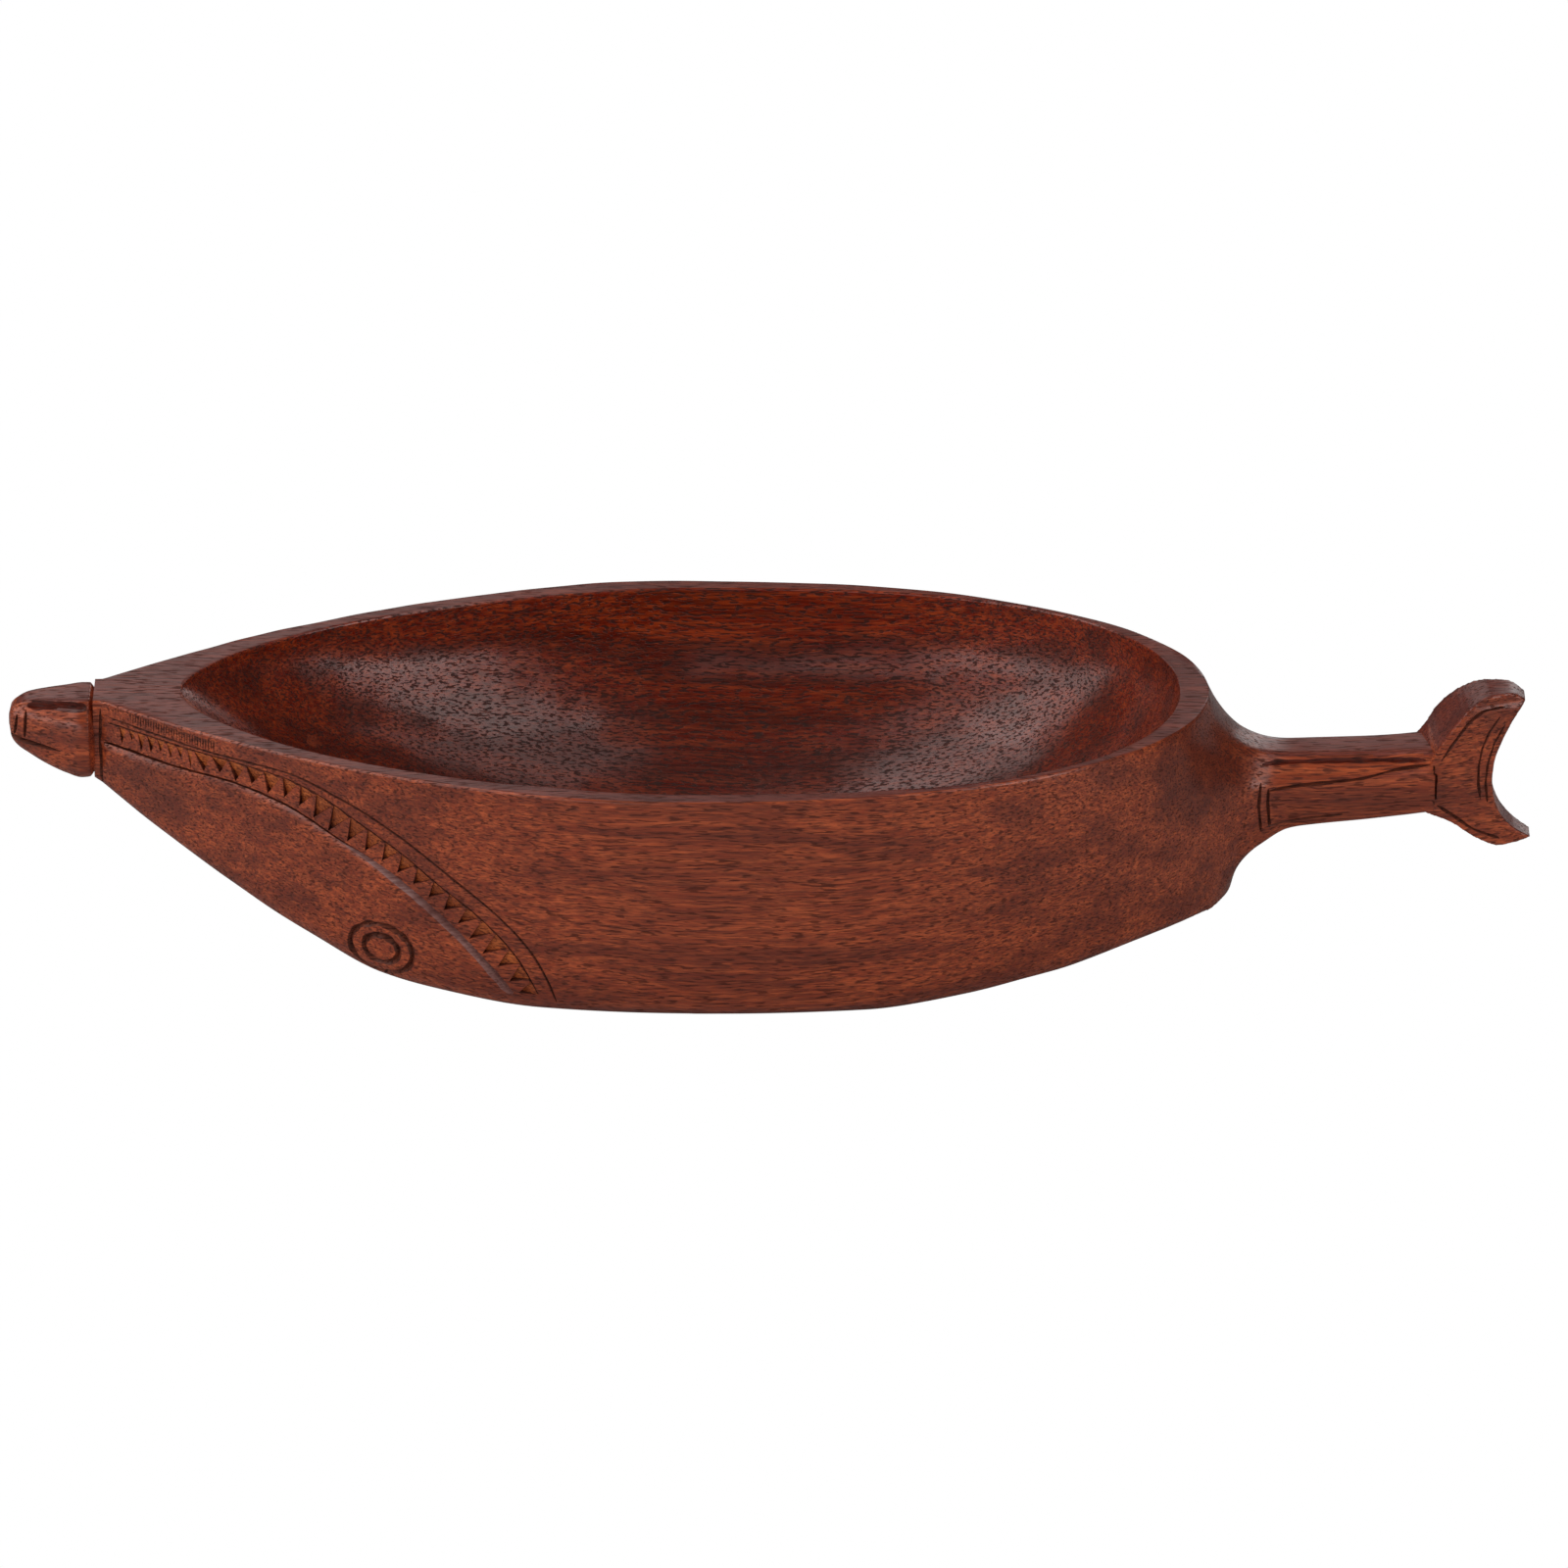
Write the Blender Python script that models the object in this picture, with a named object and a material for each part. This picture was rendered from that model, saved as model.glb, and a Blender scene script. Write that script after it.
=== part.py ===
"""A carved fish bowl: leaf-shaped vessel, blunt snout, short tail stem and forked tail fin.

The bowl is cut from one billet of hardwood. Here it is four bodies, parted along the grooves that the
carver cut between head, vessel, stem and fin, with a hair gap at each parting. X runs from snout to tail,
Z is up, the foot stands on Z = 0 and the two sides mirror each other across Y = 0.
Depths are measured down from the rim plane.
"""
import math

import bmesh
import bpy

MM = 0.001

# Driving dimensions, millimetres
LENGTH = 400.0
RIM_HEIGHT = 67.5          # rim plane above the foot
GAP = 0.3                  # between two bodies
NECK_X = -177.3            # snout meets vessel
STEM_X = 128.0             # vessel meets stem
FIN_X = 172.0              # stem meets fin

# Rim outline: a parabola-like bow and a blunt elliptic stern that meet where the bowl is widest
WIDEST_X = -20.0
RIM_HALF = 71.6
BOW_RUN = 164.0
BOW_POWER = 1.95
STERN_RUN = 134.8
STERN_POWER = 2.2
NECK_HALF = 7.4

# Cavity mouth
MOUTH_HALF = 66.0
MOUTH_BOW_X = -154.7
MOUTH_STERN_X = 107.3
MOUTH_BOW_POWER = 1.75
MOUTH_BOW_ROUND = 0.6
MOUTH_STERN_POWER = 2.85
MOUTH_STERN_ROUND = 0.5
CAVITY_DEPTH = 57.0
CAVITY_BOW_POWER = 2.0
CAVITY_BOW_ROUND = 0.9
CAVITY_STERN_POWER = 2.4
CAVITY_STERN_ROUND = 0.6
CAVITY_SECTION = 2.3       # superellipse exponent of a cross-section

# Vessel side and bottom
CHINE_RATIO = 0.86         # half-width at the bottom edge over half-width at the rim
SIDE_BULGE = 1.6
CHINE_ROUND = 9.0          # blend reach of the bottom edge
STERN_RAKE = 8.0           # how far the stern leans out below the rim
RAKE_LEVEL = 0.68          # of the depth: where it leans out most
ROOT_FILLET = 16.0         # blend reach where the stem grows out of the stern
THIN_REACH = 0.25          # of the blend reach: what is left of it at the tips

# Depth of the bottom below the rim, along X
BOTTOM = ((-180.0, 21.5), (-166.5, 30.2), (-120.0, 55.1), (-101.0, 63.2), (-88.0, 65.1), (-60.0, 67.5),
          (25.0, 67.5), (50.0, 65.1), (75.0, 61.3), (98.0, 57.2), (114.0, 56.2), (128.0, 56.8))

# Stem: x, top depth, bottom depth, half-width of the top flat, half-width of the side
STEM = ((110.0, 16.6, 39.2, 5.6, 10.0), (128.0, 16.2, 39.2, 5.7, 10.0), (136.0, 16.0, 37.0, 5.8, 10.0),
        (158.0, 15.5, 34.2, 6.3, 10.0), (173.0, 14.8, 31.6, 7.6, 10.4))
STEM_CORNER = 0.28         # of the height: where the side flat starts and ends
STEM_BELLY = 1.2           # how much wider the bottom flat is than the top flat, each side
STEM_SLOPE = 0.8           # turns a sideways distance into a distance square to the corner flats

# Snout: x, top depth, bottom depth, half-width
SNOUT = ((-200.0, 6.6, 9.6, 1.2), (-199.3, 4.2, 12.8, 3.0), (-197.5, 2.7, 15.0, 4.4), (-194.5, 1.4, 16.9, 5.6),
         (-190.0, 0.8, 19.4, 7.2), (-184.5, 0.4, 21.7, 8.8), (-180.5, 0.2, 22.7, 10.0),
         (-178.6, 0.2, 22.6, 9.8), (-177.6, 1.0, 21.6, 8.4))
MOUTH_CUT = (-196.0, 11.6, 2.0, 1.9)   # deepest x, depth, half-height at the lips, reach past the nose
MOUTH_CUT_HALF = 12.0
# Shares of the half-width, and of the height up from the bottom and down from the top
SNOUT_LOWER = ((0.0, 0.0), (0.45, 0.0), (0.78, 0.08), (0.96, 0.24), (1.0, 0.45))
SNOUT_UPPER = ((1.0, 0.30), (0.93, 0.15), (0.80, 0.03), (0.70, 0.0), (0.0, 0.0))

# Fin outline: x and depth, upper lobe, notch, lower lobe
FIN_TOP = ((172.0, 12.6), (174.4, 9.0), (177.3, 5.8), (181.0, 2.7), (184.6, 0.4), (188.6, -0.9), (193.6, -1.1),
           (196.9, -0.2), (197.9, 1.6))
FIN_REAR = ((194.3, 7.2), (191.4, 13.2), (189.7, 19.0), (189.3, 24.0), (190.0, 29.0), (191.8, 33.6),
            (195.4, 37.9), (199.7, 40.4))
FIN_BOTTOM = ((200.15, 41.0), (197.2, 42.2), (191.6, 42.9), (185.4, 40.2), (178.6, 34.9), (172.0, 31.4))
FIN_ROOT_HALF = 10.3
FIN_TIP_HALF = 3.6
FIN_BEVEL = 1.0

# Ring-and-dot eye cut into both bow sides: centre, radii of its two V grooves
EYE_X = -101.4
EYE_DEPTH = 52.6
EYE_RINGS = (4.3, 7.8)
EYE_LONG = 1.06            # the rings are slightly oval
EYE_TURN = math.radians(-20)
EYE_STEPS = 20

# Chip-carved band on both bow sides: x and depth along its lower border and its outer line
BAND_BORDER = ((-174.5, 12.0), (-155.0, 12.8), (-143.0, 12.5), (-128.0, 14.8), (-111.0, 22.7),
               (-99.0, 29.2), (-86.4, 39.3), (-76.0, 50.1), (-67.0, 61.0))
BAND_OUTER = ((-173.0, 4.2), (-151.0, 4.9), (-127.5, 5.2), (-111.0, 9.8), (-96.7, 17.0),
              (-83.3, 26.9), (-71.2, 36.8), (-62.2, 47.3), (-57.6, 56.6), (-55.6, 62.6))
BAND_TEETH = 21
TEETH_START = 0.19         # share of the border where the regular teeth begin
TEETH_REACH = 0.72         # chips run this far from the border towards the outer line
BAND_STEPS = 22

# V grooves: half-width and depth of the cut, and how far cutters stand clear of the wood
GROOVE_HALF = 1.0
GROOVE_DEPTH = 0.8
CHIP_DEPTH = 1.3
CLEAR = 0.5

# Chips: shares of one tooth step and of the way from the border to the outer line
CHIP_SIDES = (0.08, 0.92)
CHIP_POINT = 0.22

# Resolution of the vessel grid
SIDE_STEPS = 15
RIM_STEPS = 2
CAVITY_STEPS = 9
BOW_STATIONS = 13
STERN_STATIONS = 12
STEM_STEPS = 8
UNDER_SHARE = 0.4          # of the side steps: those under the bottom edge
SIDE_CROWDING = 1.3

# Rays that find the skin from inside the wood
RAY_CENTRE = 0.45          # of the depth: where section rays start
RAY_LENGTH = 130.0
BISECTIONS = 34
LEAST_CHINE = 8.0          # half-width that aims the ray at the bottom edge of a narrow section
SLOPE_STEP = 0.5           # for finite differences of the side

# Face shading and soft edges
RIDGE_ANGLE = math.radians(35)
BEVEL_ANGLE = math.radians(50)

# Wood colours and roughness
VESSEL_WOOD = ((0.155, 0.038, 0.018, 1), 0.38)
SNOUT_WOOD = ((0.15, 0.036, 0.018, 1), 0.4)
STEM_WOOD = ((0.15, 0.037, 0.018, 1), 0.38)
FIN_WOOD = ((0.16, 0.04, 0.02, 1), 0.42)


def lerp_curve(points, x, column):
    """Monotone cubic through the control points."""
    pts = [(p[0], p[column]) for p in points]
    if x <= pts[0][0]:
        return pts[0][1]
    if x >= pts[-1][0]:
        return pts[-1][1]
    slopes = [(b[1] - a[1]) / (b[0] - a[0]) for a, b in zip(pts, pts[1:])]
    tangents = [slopes[0]]
    for left, right in zip(slopes, slopes[1:]):
        tangents.append(0.0 if left * right <= 0 else 2 * left * right / (left + right))
    tangents.append(slopes[-1])
    for i in range(len(pts) - 1):
        x0, y0 = pts[i]
        x1, y1 = pts[i + 1]
        if x <= x1:
            h = x1 - x0
            t = (x - x0) / h
            return ((1 + 2 * t) * (1 - t) ** 2 * y0 + t * (1 - t) ** 2 * h * tangents[i]
                    + t * t * (3 - 2 * t) * y1 + t * t * (t - 1) * h * tangents[i + 1])
    return pts[-1][1]


def bottom_depth(x):
    return lerp_curve(BOTTOM, x, 1)


def rim_half(x):
    """Half-width of the rim's outer edge."""
    if x < WIDEST_X:
        t = (WIDEST_X - x) / BOW_RUN
        return max(NECK_HALF, RIM_HALF * (1 - t ** BOW_POWER))
    t = (x - WIDEST_X) / STERN_RUN
    return RIM_HALF * math.sqrt(max(0.0, 1 - t ** STERN_POWER))


def mouth_half(x):
    """Half-width of the cavity at the rim."""
    if x < WIDEST_X:
        t = (WIDEST_X - x) / (WIDEST_X - MOUTH_BOW_X)
        return MOUTH_HALF * max(0.0, 1 - t ** MOUTH_BOW_POWER) ** MOUTH_BOW_ROUND
    t = (x - WIDEST_X) / (MOUTH_STERN_X - WIDEST_X)
    return MOUTH_HALF * max(0.0, 1 - t ** MOUTH_STERN_POWER) ** MOUTH_STERN_ROUND


def cavity_depth(x):
    """Depth of the cavity on the centreline."""
    if x < WIDEST_X:
        t = (WIDEST_X - x) / (WIDEST_X - MOUTH_BOW_X)
        return CAVITY_DEPTH * max(0.0, 1 - t ** CAVITY_BOW_POWER) ** CAVITY_BOW_ROUND
    t = (x - WIDEST_X) / (MOUTH_STERN_X - WIDEST_X)
    return CAVITY_DEPTH * max(0.0, 1 - t ** CAVITY_STERN_POWER) ** CAVITY_STERN_ROUND


def smooth_min(a, b, reach):
    h = max(reach - abs(a - b), 0.0) / reach
    return min(a, b) - h * h * reach / 4


def stem_half(x, depth):
    """Half-width of the stem's eight-sided section at a depth, negative outside it."""
    top = lerp_curve(STEM, x, 1)
    bottom = lerp_curve(STEM, x, 2)
    flat = lerp_curve(STEM, x, 3)
    side = lerp_curve(STEM, x, 4)
    corner = STEM_CORNER * (bottom - top)
    upper = flat + (side - flat) * (depth - top) / corner
    belly = flat + STEM_BELLY
    lower = belly + (side - belly) * (bottom - depth) / corner
    return min(side, upper, lower)


def stem_distance(x, y, depth):
    top = lerp_curve(STEM, x, 1)
    bottom = lerp_curve(STEM, x, 2)
    return max(STEM_SLOPE * (y - stem_half(x, depth)), top - depth, depth - bottom)


def vessel_distance(x, y, depth):
    """Below zero inside the vessel, about in millimetres."""
    s = depth / bottom_depth(x)
    taper = 1 - (1 - CHINE_RATIO) * s
    bulge = SIDE_BULGE * 4 * s * (1 - s)
    if x < WIDEST_X:
        side = y - rim_half(x) * taper - bulge * min(1.0, rim_half(x) / RIM_HALF)
    else:
        run = STERN_RUN + STERN_RAKE * (1 - ((s - RAKE_LEVEL) / RAKE_LEVEL) ** 2)
        t = (x - WIDEST_X) / run
        half = RIM_HALF * taper + bulge
        value = t ** STERN_POWER + (y / half) ** 2 - 1
        gx = STERN_POWER * t ** (STERN_POWER - 1) / run
        gy = 2 * y / half ** 2
        side = value / max(math.hypot(gx, gy), 1e-4)
    if x > STEM[0][0]:
        side = smooth_min(side, stem_distance(x, y, depth), ROOT_FILLET)
    floor = depth - bottom_depth(x)
    reach = CHINE_ROUND * min(1.0, rim_half(x) / RIM_HALF + THIN_REACH)
    return -smooth_min(-side, -floor, reach)


def ray_length(x, depth, across, down):
    """How far a ray from the middle of a section runs before it leaves the vessel."""
    low, high = 0.0, RAY_LENGTH
    for _ in range(BISECTIONS):
        mid = (low + high) / 2
        if vessel_distance(x, mid * across, depth + mid * down) < 0:
            low = mid
        else:
            high = mid
    return low


def hit(x, centre, angle):
    """Point on the vessel where a ray from (0, centre) at an angle from straight up leaves it."""
    across, down = math.sin(angle), -math.cos(angle)
    run = ray_length(x, centre, across, down)
    return run * across, centre + run * down


def section(x):
    """Half a cross-section of the vessel: bottom centre, side, rim, cavity wall, cavity floor."""
    depth = bottom_depth(x)
    centre = RAY_CENTRE * depth
    rim = rim_half(x)
    # the rim's edge is where the side crosses the rim plane
    top_angle = math.atan2(rim, centre) if rim > 0 else 0.0
    chine_angle = math.pi - math.atan2(max(rim * CHINE_RATIO, LEAST_CHINE), depth - centre)
    points = []
    for i in range(SIDE_STEPS + 1):
        share = i / SIDE_STEPS
        if share < UNDER_SHARE:
            angle = math.pi + (chine_angle - math.pi) * math.sin(share / UNDER_SHARE * math.pi / 2)
        else:
            rise = (share - UNDER_SHARE) / (1 - UNDER_SHARE)
            angle = chine_angle + (top_angle - chine_angle) * rise ** SIDE_CROWDING
        points.append(hit(x, centre, angle))
    if rim > 0:
        points[-1] = (rim, 0.0)
    points[0] = (0.0, points[0][1])
    top_depth = points[-1][1]
    mouth = mouth_half(x) if MOUTH_BOW_X < x < MOUTH_STERN_X else 0.0
    for i in range(1, RIM_STEPS + 1):
        points.append((rim + (mouth - rim) * i / RIM_STEPS, top_depth))
    floor = cavity_depth(x) if mouth > 0 else 0.0
    power = 2 / CAVITY_SECTION
    for i in range(1, CAVITY_STEPS + 1):
        a = i / CAVITY_STEPS * math.pi / 2
        points.append((mouth * max(0.0, math.cos(a)) ** power, top_depth + floor * math.sin(a) ** power))
    return points


def stations():
    """Section places along X, closer together where the shape ends or turns."""
    places = [NECK_X, -174.5, -171.0, -166.0, -160.0]
    mouth_span = WIDEST_X - MOUTH_BOW_X
    for i in range(BOW_STATIONS):
        places.append(WIDEST_X - mouth_span * math.cos(i / BOW_STATIONS * math.pi / 2))
    stern_span = MOUTH_STERN_X - WIDEST_X
    for i in range(STERN_STATIONS + 1):
        places.append(WIDEST_X + stern_span * math.sin(i / STERN_STATIONS * math.pi / 2))
    rim_tip = WIDEST_X + STERN_RUN
    places += [109.4, 111.4, 113.0, 114.1, rim_tip, 115.6, 116.6, 117.6, 118.5, 119.4, 120.6, 122.2, 124.6, STEM_X]
    return places


def solid(name, rings, wood):
    """Closed body from rings of points along X, each ring a full loop, capped at both ends."""
    mesh = bpy.data.meshes.new(name)
    bm = bmesh.new()
    found = {}

    def corner(point):
        key = tuple(round(v * 1e6) for v in point)
        if key not in found:
            found[key] = bm.verts.new(point)
        return found[key]

    def face(points):
        corners = []
        for p in points:
            v = corner(p)
            if v not in corners:
                corners.append(v)
        if len(corners) > 2 and not bm.faces.get(corners):
            bm.faces.new(corners)

    for a, b in zip(rings, rings[1:]):
        for i in range(len(a)):
            j = (i + 1) % len(a)
            face((a[i], a[j], b[j], b[i]))
    face(rings[0])
    face(rings[-1][::-1])
    bmesh.ops.triangulate(bm, faces=bm.faces[:])
    bmesh.ops.recalc_face_normals(bm, faces=bm.faces[:])
    bm.to_mesh(mesh)
    bm.free()
    return add(name, mesh, wood)


def add(name, mesh, wood):
    """Object with its own wood material; wood is a colour and a roughness."""
    mesh.shade_smooth()
    mesh.set_sharp_from_angle(angle=RIDGE_ANGLE)
    material = bpy.data.materials.new(name + "_wood")
    material.use_nodes = True
    shader = material.node_tree.nodes["Principled BSDF"]
    shader.inputs["Base Color"].default_value, shader.inputs["Roughness"].default_value = wood
    shader.inputs["Metallic"].default_value = 0.0
    mesh.materials.append(material)
    obj = bpy.data.objects.new(name, mesh)
    bpy.context.scene.collection.objects.link(obj)
    return obj


def place(x, y, depth):
    return (x * MM, y * MM, (RIM_HEIGHT - depth) * MM)


def mirror_ring(x, half):
    """Full loop from a half-section that runs from bottom centre to top centre at y >= 0."""
    near = [place(x, -y, d) for y, d in half]
    far = [place(x, y, d) for y, d in reversed(half[1:-1])]
    return near + far


def cutter(name, mesh):
    obj = bpy.data.objects.new(name, mesh)
    bpy.context.scene.collection.objects.link(obj)
    obj.hide_render = True
    obj.display_type = "WIRE"
    return obj


def cut(target, tool):
    modifier = target.modifiers.new(tool.name, "BOOLEAN")
    modifier.operation = "DIFFERENCE"
    modifier.solver = "EXACT"
    modifier.object = tool


def side_point(x, depth):
    """Point on the near side of the vessel and the outward direction there, by finite steps."""
    def half(px, pd):
        return ray_length(px, pd, 1.0, 0.0)

    y = half(x, depth)
    dx = (half(x + SLOPE_STEP, depth) - half(x - SLOPE_STEP, depth)) / (2 * SLOPE_STEP)
    dd = (half(x, depth + SLOPE_STEP) - half(x, depth - SLOPE_STEP)) / (2 * SLOPE_STEP)
    length = math.sqrt(1 + dx * dx + dd * dd)
    return (x, -y, depth), (-dx / length, -1 / length, -dd / length)


def along(points, share):
    """Point at a share of the length of a curve through (x, depth) points."""
    lengths = [math.dist(p, q) for p, q in zip(points, points[1:])]
    left = share * sum(lengths)
    for (p, q), length in zip(zip(points, points[1:]), lengths):
        if left <= length:
            x = p[0] + (q[0] - p[0]) * left / length
            return x, lerp_curve(points, x, 1)
        left -= length
    return points[-1]


def lifted(x, depth, lift, side):
    """Point at a height over the vessel's side, near side for 1 and far side for -1."""
    (px, py, pd), (nx, ny, nd) = side_point(x, depth)
    return place(px + nx * lift, side * (py + ny * lift), pd + nd * lift)


def groove(bm, path, side, closed):
    """V-shaped cutter along (x, depth) points."""
    rings = []
    for i, (x, d) in enumerate(path):
        before = path[i - 1] if i or closed else path[i]
        after = path[(i + 1) % len(path)] if i + 1 < len(path) or closed else path[i]
        run = math.dist(before, after)
        ux, ud = (after[0] - before[0]) / run, (after[1] - before[1]) / run
        ring = []
        for offset, lift in ((-1.0, CLEAR), (1.0, CLEAR), (0.0, -GROOVE_DEPTH)):
            reach = offset * GROOVE_HALF * (1 + CLEAR / GROOVE_DEPTH)
            ring.append(bm.verts.new(lifted(x - ud * reach, d + ux * reach, lift, side)))
        rings.append(ring)
    pairs = list(zip(rings, rings[1:]))
    if closed:
        pairs.append((rings[-1], rings[0]))
    else:
        bm.faces.new(rings[0])
        bm.faces.new(rings[-1][::-1])
    for a, b in pairs:
        for k in range(3):
            m = (k + 1) % 3
            bm.faces.new((a[k], a[m], b[m], b[k]))


def chip(bm, left, right, point, side):
    """Three-cornered chip, deepest at its lower point."""
    top = [bm.verts.new(lifted(x, d, CLEAR, side)) for x, d in (left, right, point)]
    deep = bm.verts.new(lifted(point[0], point[1], -CHIP_DEPTH, side))
    bm.faces.new(top)
    for k in range(3):
        bm.faces.new((top[(k + 1) % 3], top[k], deep))


def carving_cutters(side):
    """Cutters for the eye, the band's two lines and its row of chips."""
    word = "near" if side > 0 else "far"
    lines = bmesh.new()
    for radius in EYE_RINGS:
        ring = []
        for i in range(EYE_STEPS):
            a = 2 * math.pi * i / EYE_STEPS
            u, v = radius * EYE_LONG * math.cos(a), radius / EYE_LONG * math.sin(a)
            ring.append((EYE_X + u * math.cos(EYE_TURN) - v * math.sin(EYE_TURN),
                         EYE_DEPTH - u * math.sin(EYE_TURN) - v * math.cos(EYE_TURN)))
        groove(lines, ring, side, True)
    for points in (BAND_BORDER, BAND_OUTER):
        groove(lines, [along(points, i / BAND_STEPS) for i in range(BAND_STEPS + 1)], side, False)
    chips = bmesh.new()
    step = (1 - TEETH_START) / BAND_TEETH
    for i in range(BAND_TEETH):
        share = TEETH_START + i * step
        corners = []
        for s in (share + side_share * step for side_share in CHIP_SIDES):
            low = along(BAND_BORDER, s)
            high = along(BAND_OUTER, s)
            corners.append((low[0] + (high[0] - low[0]) * TEETH_REACH, low[1] + (high[1] - low[1]) * TEETH_REACH))
        low = along(BAND_BORDER, share + 0.5 * step)
        high = along(BAND_OUTER, share + 0.5 * step)
        point = (low[0] + (high[0] - low[0]) * CHIP_POINT, low[1] + (high[1] - low[1]) * CHIP_POINT)
        chip(chips, corners[0], corners[1], point, side)
    tools = []
    for name, bm in (("lines_" + word, lines), ("chips_" + word, chips)):
        bmesh.ops.recalc_face_normals(bm, faces=bm.faces[:])
        mesh = bpy.data.meshes.new(name)
        bm.to_mesh(mesh)
        bm.free()
        tools.append(cutter(name, mesh))
    return tools


def make_vessel():
    rings = [mirror_ring(x, section(x)) for x in stations()]
    vessel = solid("bowl_vessel", rings, VESSEL_WOOD)
    for side in (1, -1):
        for tool in carving_cutters(side):
            cut(vessel, tool)


def rounded_half(top, bottom, half):
    """Half of a softened box section, bottom centre to top centre."""
    height = bottom - top
    lower = [(half * share, bottom - height * up) for share, up in SNOUT_LOWER]
    upper = [(half * share, top + height * down) for share, down in SNOUT_UPPER]
    return lower + upper


def make_snout():
    rings = [mirror_ring(x, rounded_half(top, bottom, half)) for x, top, bottom, half in SNOUT]
    snout = solid("snout", rings, SNOUT_WOOD)
    x, depth, half, reach = MOUTH_CUT
    front = -LENGTH / 2 - reach
    mesh = bpy.data.meshes.new("mouth_cutter")
    bm = bmesh.new()
    ends = []
    for y in (-MOUTH_CUT_HALF, MOUTH_CUT_HALF):
        ends.append([bm.verts.new(place(*p)) for p in
                     ((x, y, depth), (front, y, depth - half), (front, y, depth + half))])
    bm.faces.new(ends[0])
    bm.faces.new(ends[1][::-1])
    for k in range(3):
        m = (k + 1) % 3
        bm.faces.new((ends[0][k], ends[0][m], ends[1][m], ends[1][k]))
    bmesh.ops.recalc_face_normals(bm, faces=bm.faces[:])
    bm.to_mesh(mesh)
    bm.free()
    cut(snout, cutter("mouth_cutter", mesh))


def stem_ring(x):
    top = lerp_curve(STEM, x, 1)
    bottom = lerp_curve(STEM, x, 2)
    flat = lerp_curve(STEM, x, 3)
    side = lerp_curve(STEM, x, 4)
    corner = STEM_CORNER * (bottom - top)
    half = [(0.0, bottom), (flat + STEM_BELLY, bottom), (side, bottom - corner), (side, top + corner),
            (flat, top), (0.0, top)]
    return mirror_ring(x, half)


def make_stem():
    start = STEM_X + GAP
    places = [start + (FIN_X - start) * i / STEM_STEPS for i in range(STEM_STEPS + 1)]
    solid("tail_stem", [stem_ring(x) for x in places], STEM_WOOD)


def fin_half(x):
    share = (x - FIN_X) / (LENGTH / 2 - FIN_X)
    return FIN_ROOT_HALF + (FIN_TIP_HALF - FIN_ROOT_HALF) * share


def make_fin():
    """Flat wedge with the outline of a forked tail; its two faces lean together towards the tips."""
    outline = [(x, d) for x, d in FIN_TOP + FIN_REAR + FIN_BOTTOM]
    outline[0] = (FIN_X + GAP, outline[0][1])
    outline[-1] = (FIN_X + GAP, outline[-1][1])
    mesh = bpy.data.meshes.new("tail_fin")
    bm = bmesh.new()
    near = [bm.verts.new(place(x, -fin_half(x), d)) for x, d in outline]
    far = [bm.verts.new(place(x, fin_half(x), d)) for x, d in outline]
    bm.faces.new(near)
    bm.faces.new(far[::-1])
    for i in range(len(outline)):
        j = (i + 1) % len(outline)
        bm.faces.new((near[i], near[j], far[j], far[i]))
    bmesh.ops.recalc_face_normals(bm, faces=bm.faces[:])
    bm.to_mesh(mesh)
    bm.free()
    fin = add("tail_fin", mesh, FIN_WOOD)
    bevel = fin.modifiers.new("soft edges", "BEVEL")
    bevel.width = FIN_BEVEL * MM
    bevel.segments = 2
    bevel.limit_method = "ANGLE"
    bevel.angle_limit = BEVEL_ANGLE


def main():
    for obj in list(bpy.data.objects):
        bpy.data.objects.remove(obj, do_unlink=True)
    make_vessel()
    make_snout()
    make_stem()
    make_fin()


main()
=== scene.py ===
# %% [markdown]
# # A fish bowl carved from one billet
#
# The bowl is a leaf-shaped vessel with a fish's snout, a short stem and a forked fin, all cut from one block
# of red-brown tropical hardwood, then oiled and rubbed to a satin polish. This lesson builds it the way a
# carver sees it: first the big form, then the tool's waver on its surfaces, then the cuts, then the wood.
# The packed model gives the frame. Everything here is in its metres, with +X towards the tail and +Z up.

# %% Load the frame
import math

import bmesh
import bpy
import numpy as np
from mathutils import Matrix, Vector
from mathutils.bvhtree import BVHTree
from mathutils.geometry import tessellate_polygon


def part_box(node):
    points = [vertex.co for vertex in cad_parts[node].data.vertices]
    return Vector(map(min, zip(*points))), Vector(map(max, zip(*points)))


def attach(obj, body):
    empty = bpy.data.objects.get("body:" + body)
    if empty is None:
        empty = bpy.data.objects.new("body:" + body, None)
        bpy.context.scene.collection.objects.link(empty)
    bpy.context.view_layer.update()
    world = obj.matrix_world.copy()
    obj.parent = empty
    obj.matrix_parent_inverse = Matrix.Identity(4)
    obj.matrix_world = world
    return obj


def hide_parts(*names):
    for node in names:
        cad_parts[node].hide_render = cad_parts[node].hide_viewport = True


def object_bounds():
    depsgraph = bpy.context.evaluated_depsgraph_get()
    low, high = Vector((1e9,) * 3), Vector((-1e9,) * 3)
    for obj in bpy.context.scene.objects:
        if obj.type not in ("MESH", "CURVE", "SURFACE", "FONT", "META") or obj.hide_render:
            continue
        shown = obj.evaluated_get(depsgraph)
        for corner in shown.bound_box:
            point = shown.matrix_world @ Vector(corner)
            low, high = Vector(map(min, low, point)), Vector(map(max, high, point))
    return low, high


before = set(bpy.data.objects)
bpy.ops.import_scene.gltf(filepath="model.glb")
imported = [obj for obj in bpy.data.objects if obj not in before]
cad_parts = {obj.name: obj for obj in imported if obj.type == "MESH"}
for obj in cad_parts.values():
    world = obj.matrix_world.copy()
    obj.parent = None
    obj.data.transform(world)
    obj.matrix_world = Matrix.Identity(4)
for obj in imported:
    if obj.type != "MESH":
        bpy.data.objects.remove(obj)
cad_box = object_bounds()
MM = 0.001
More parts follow.
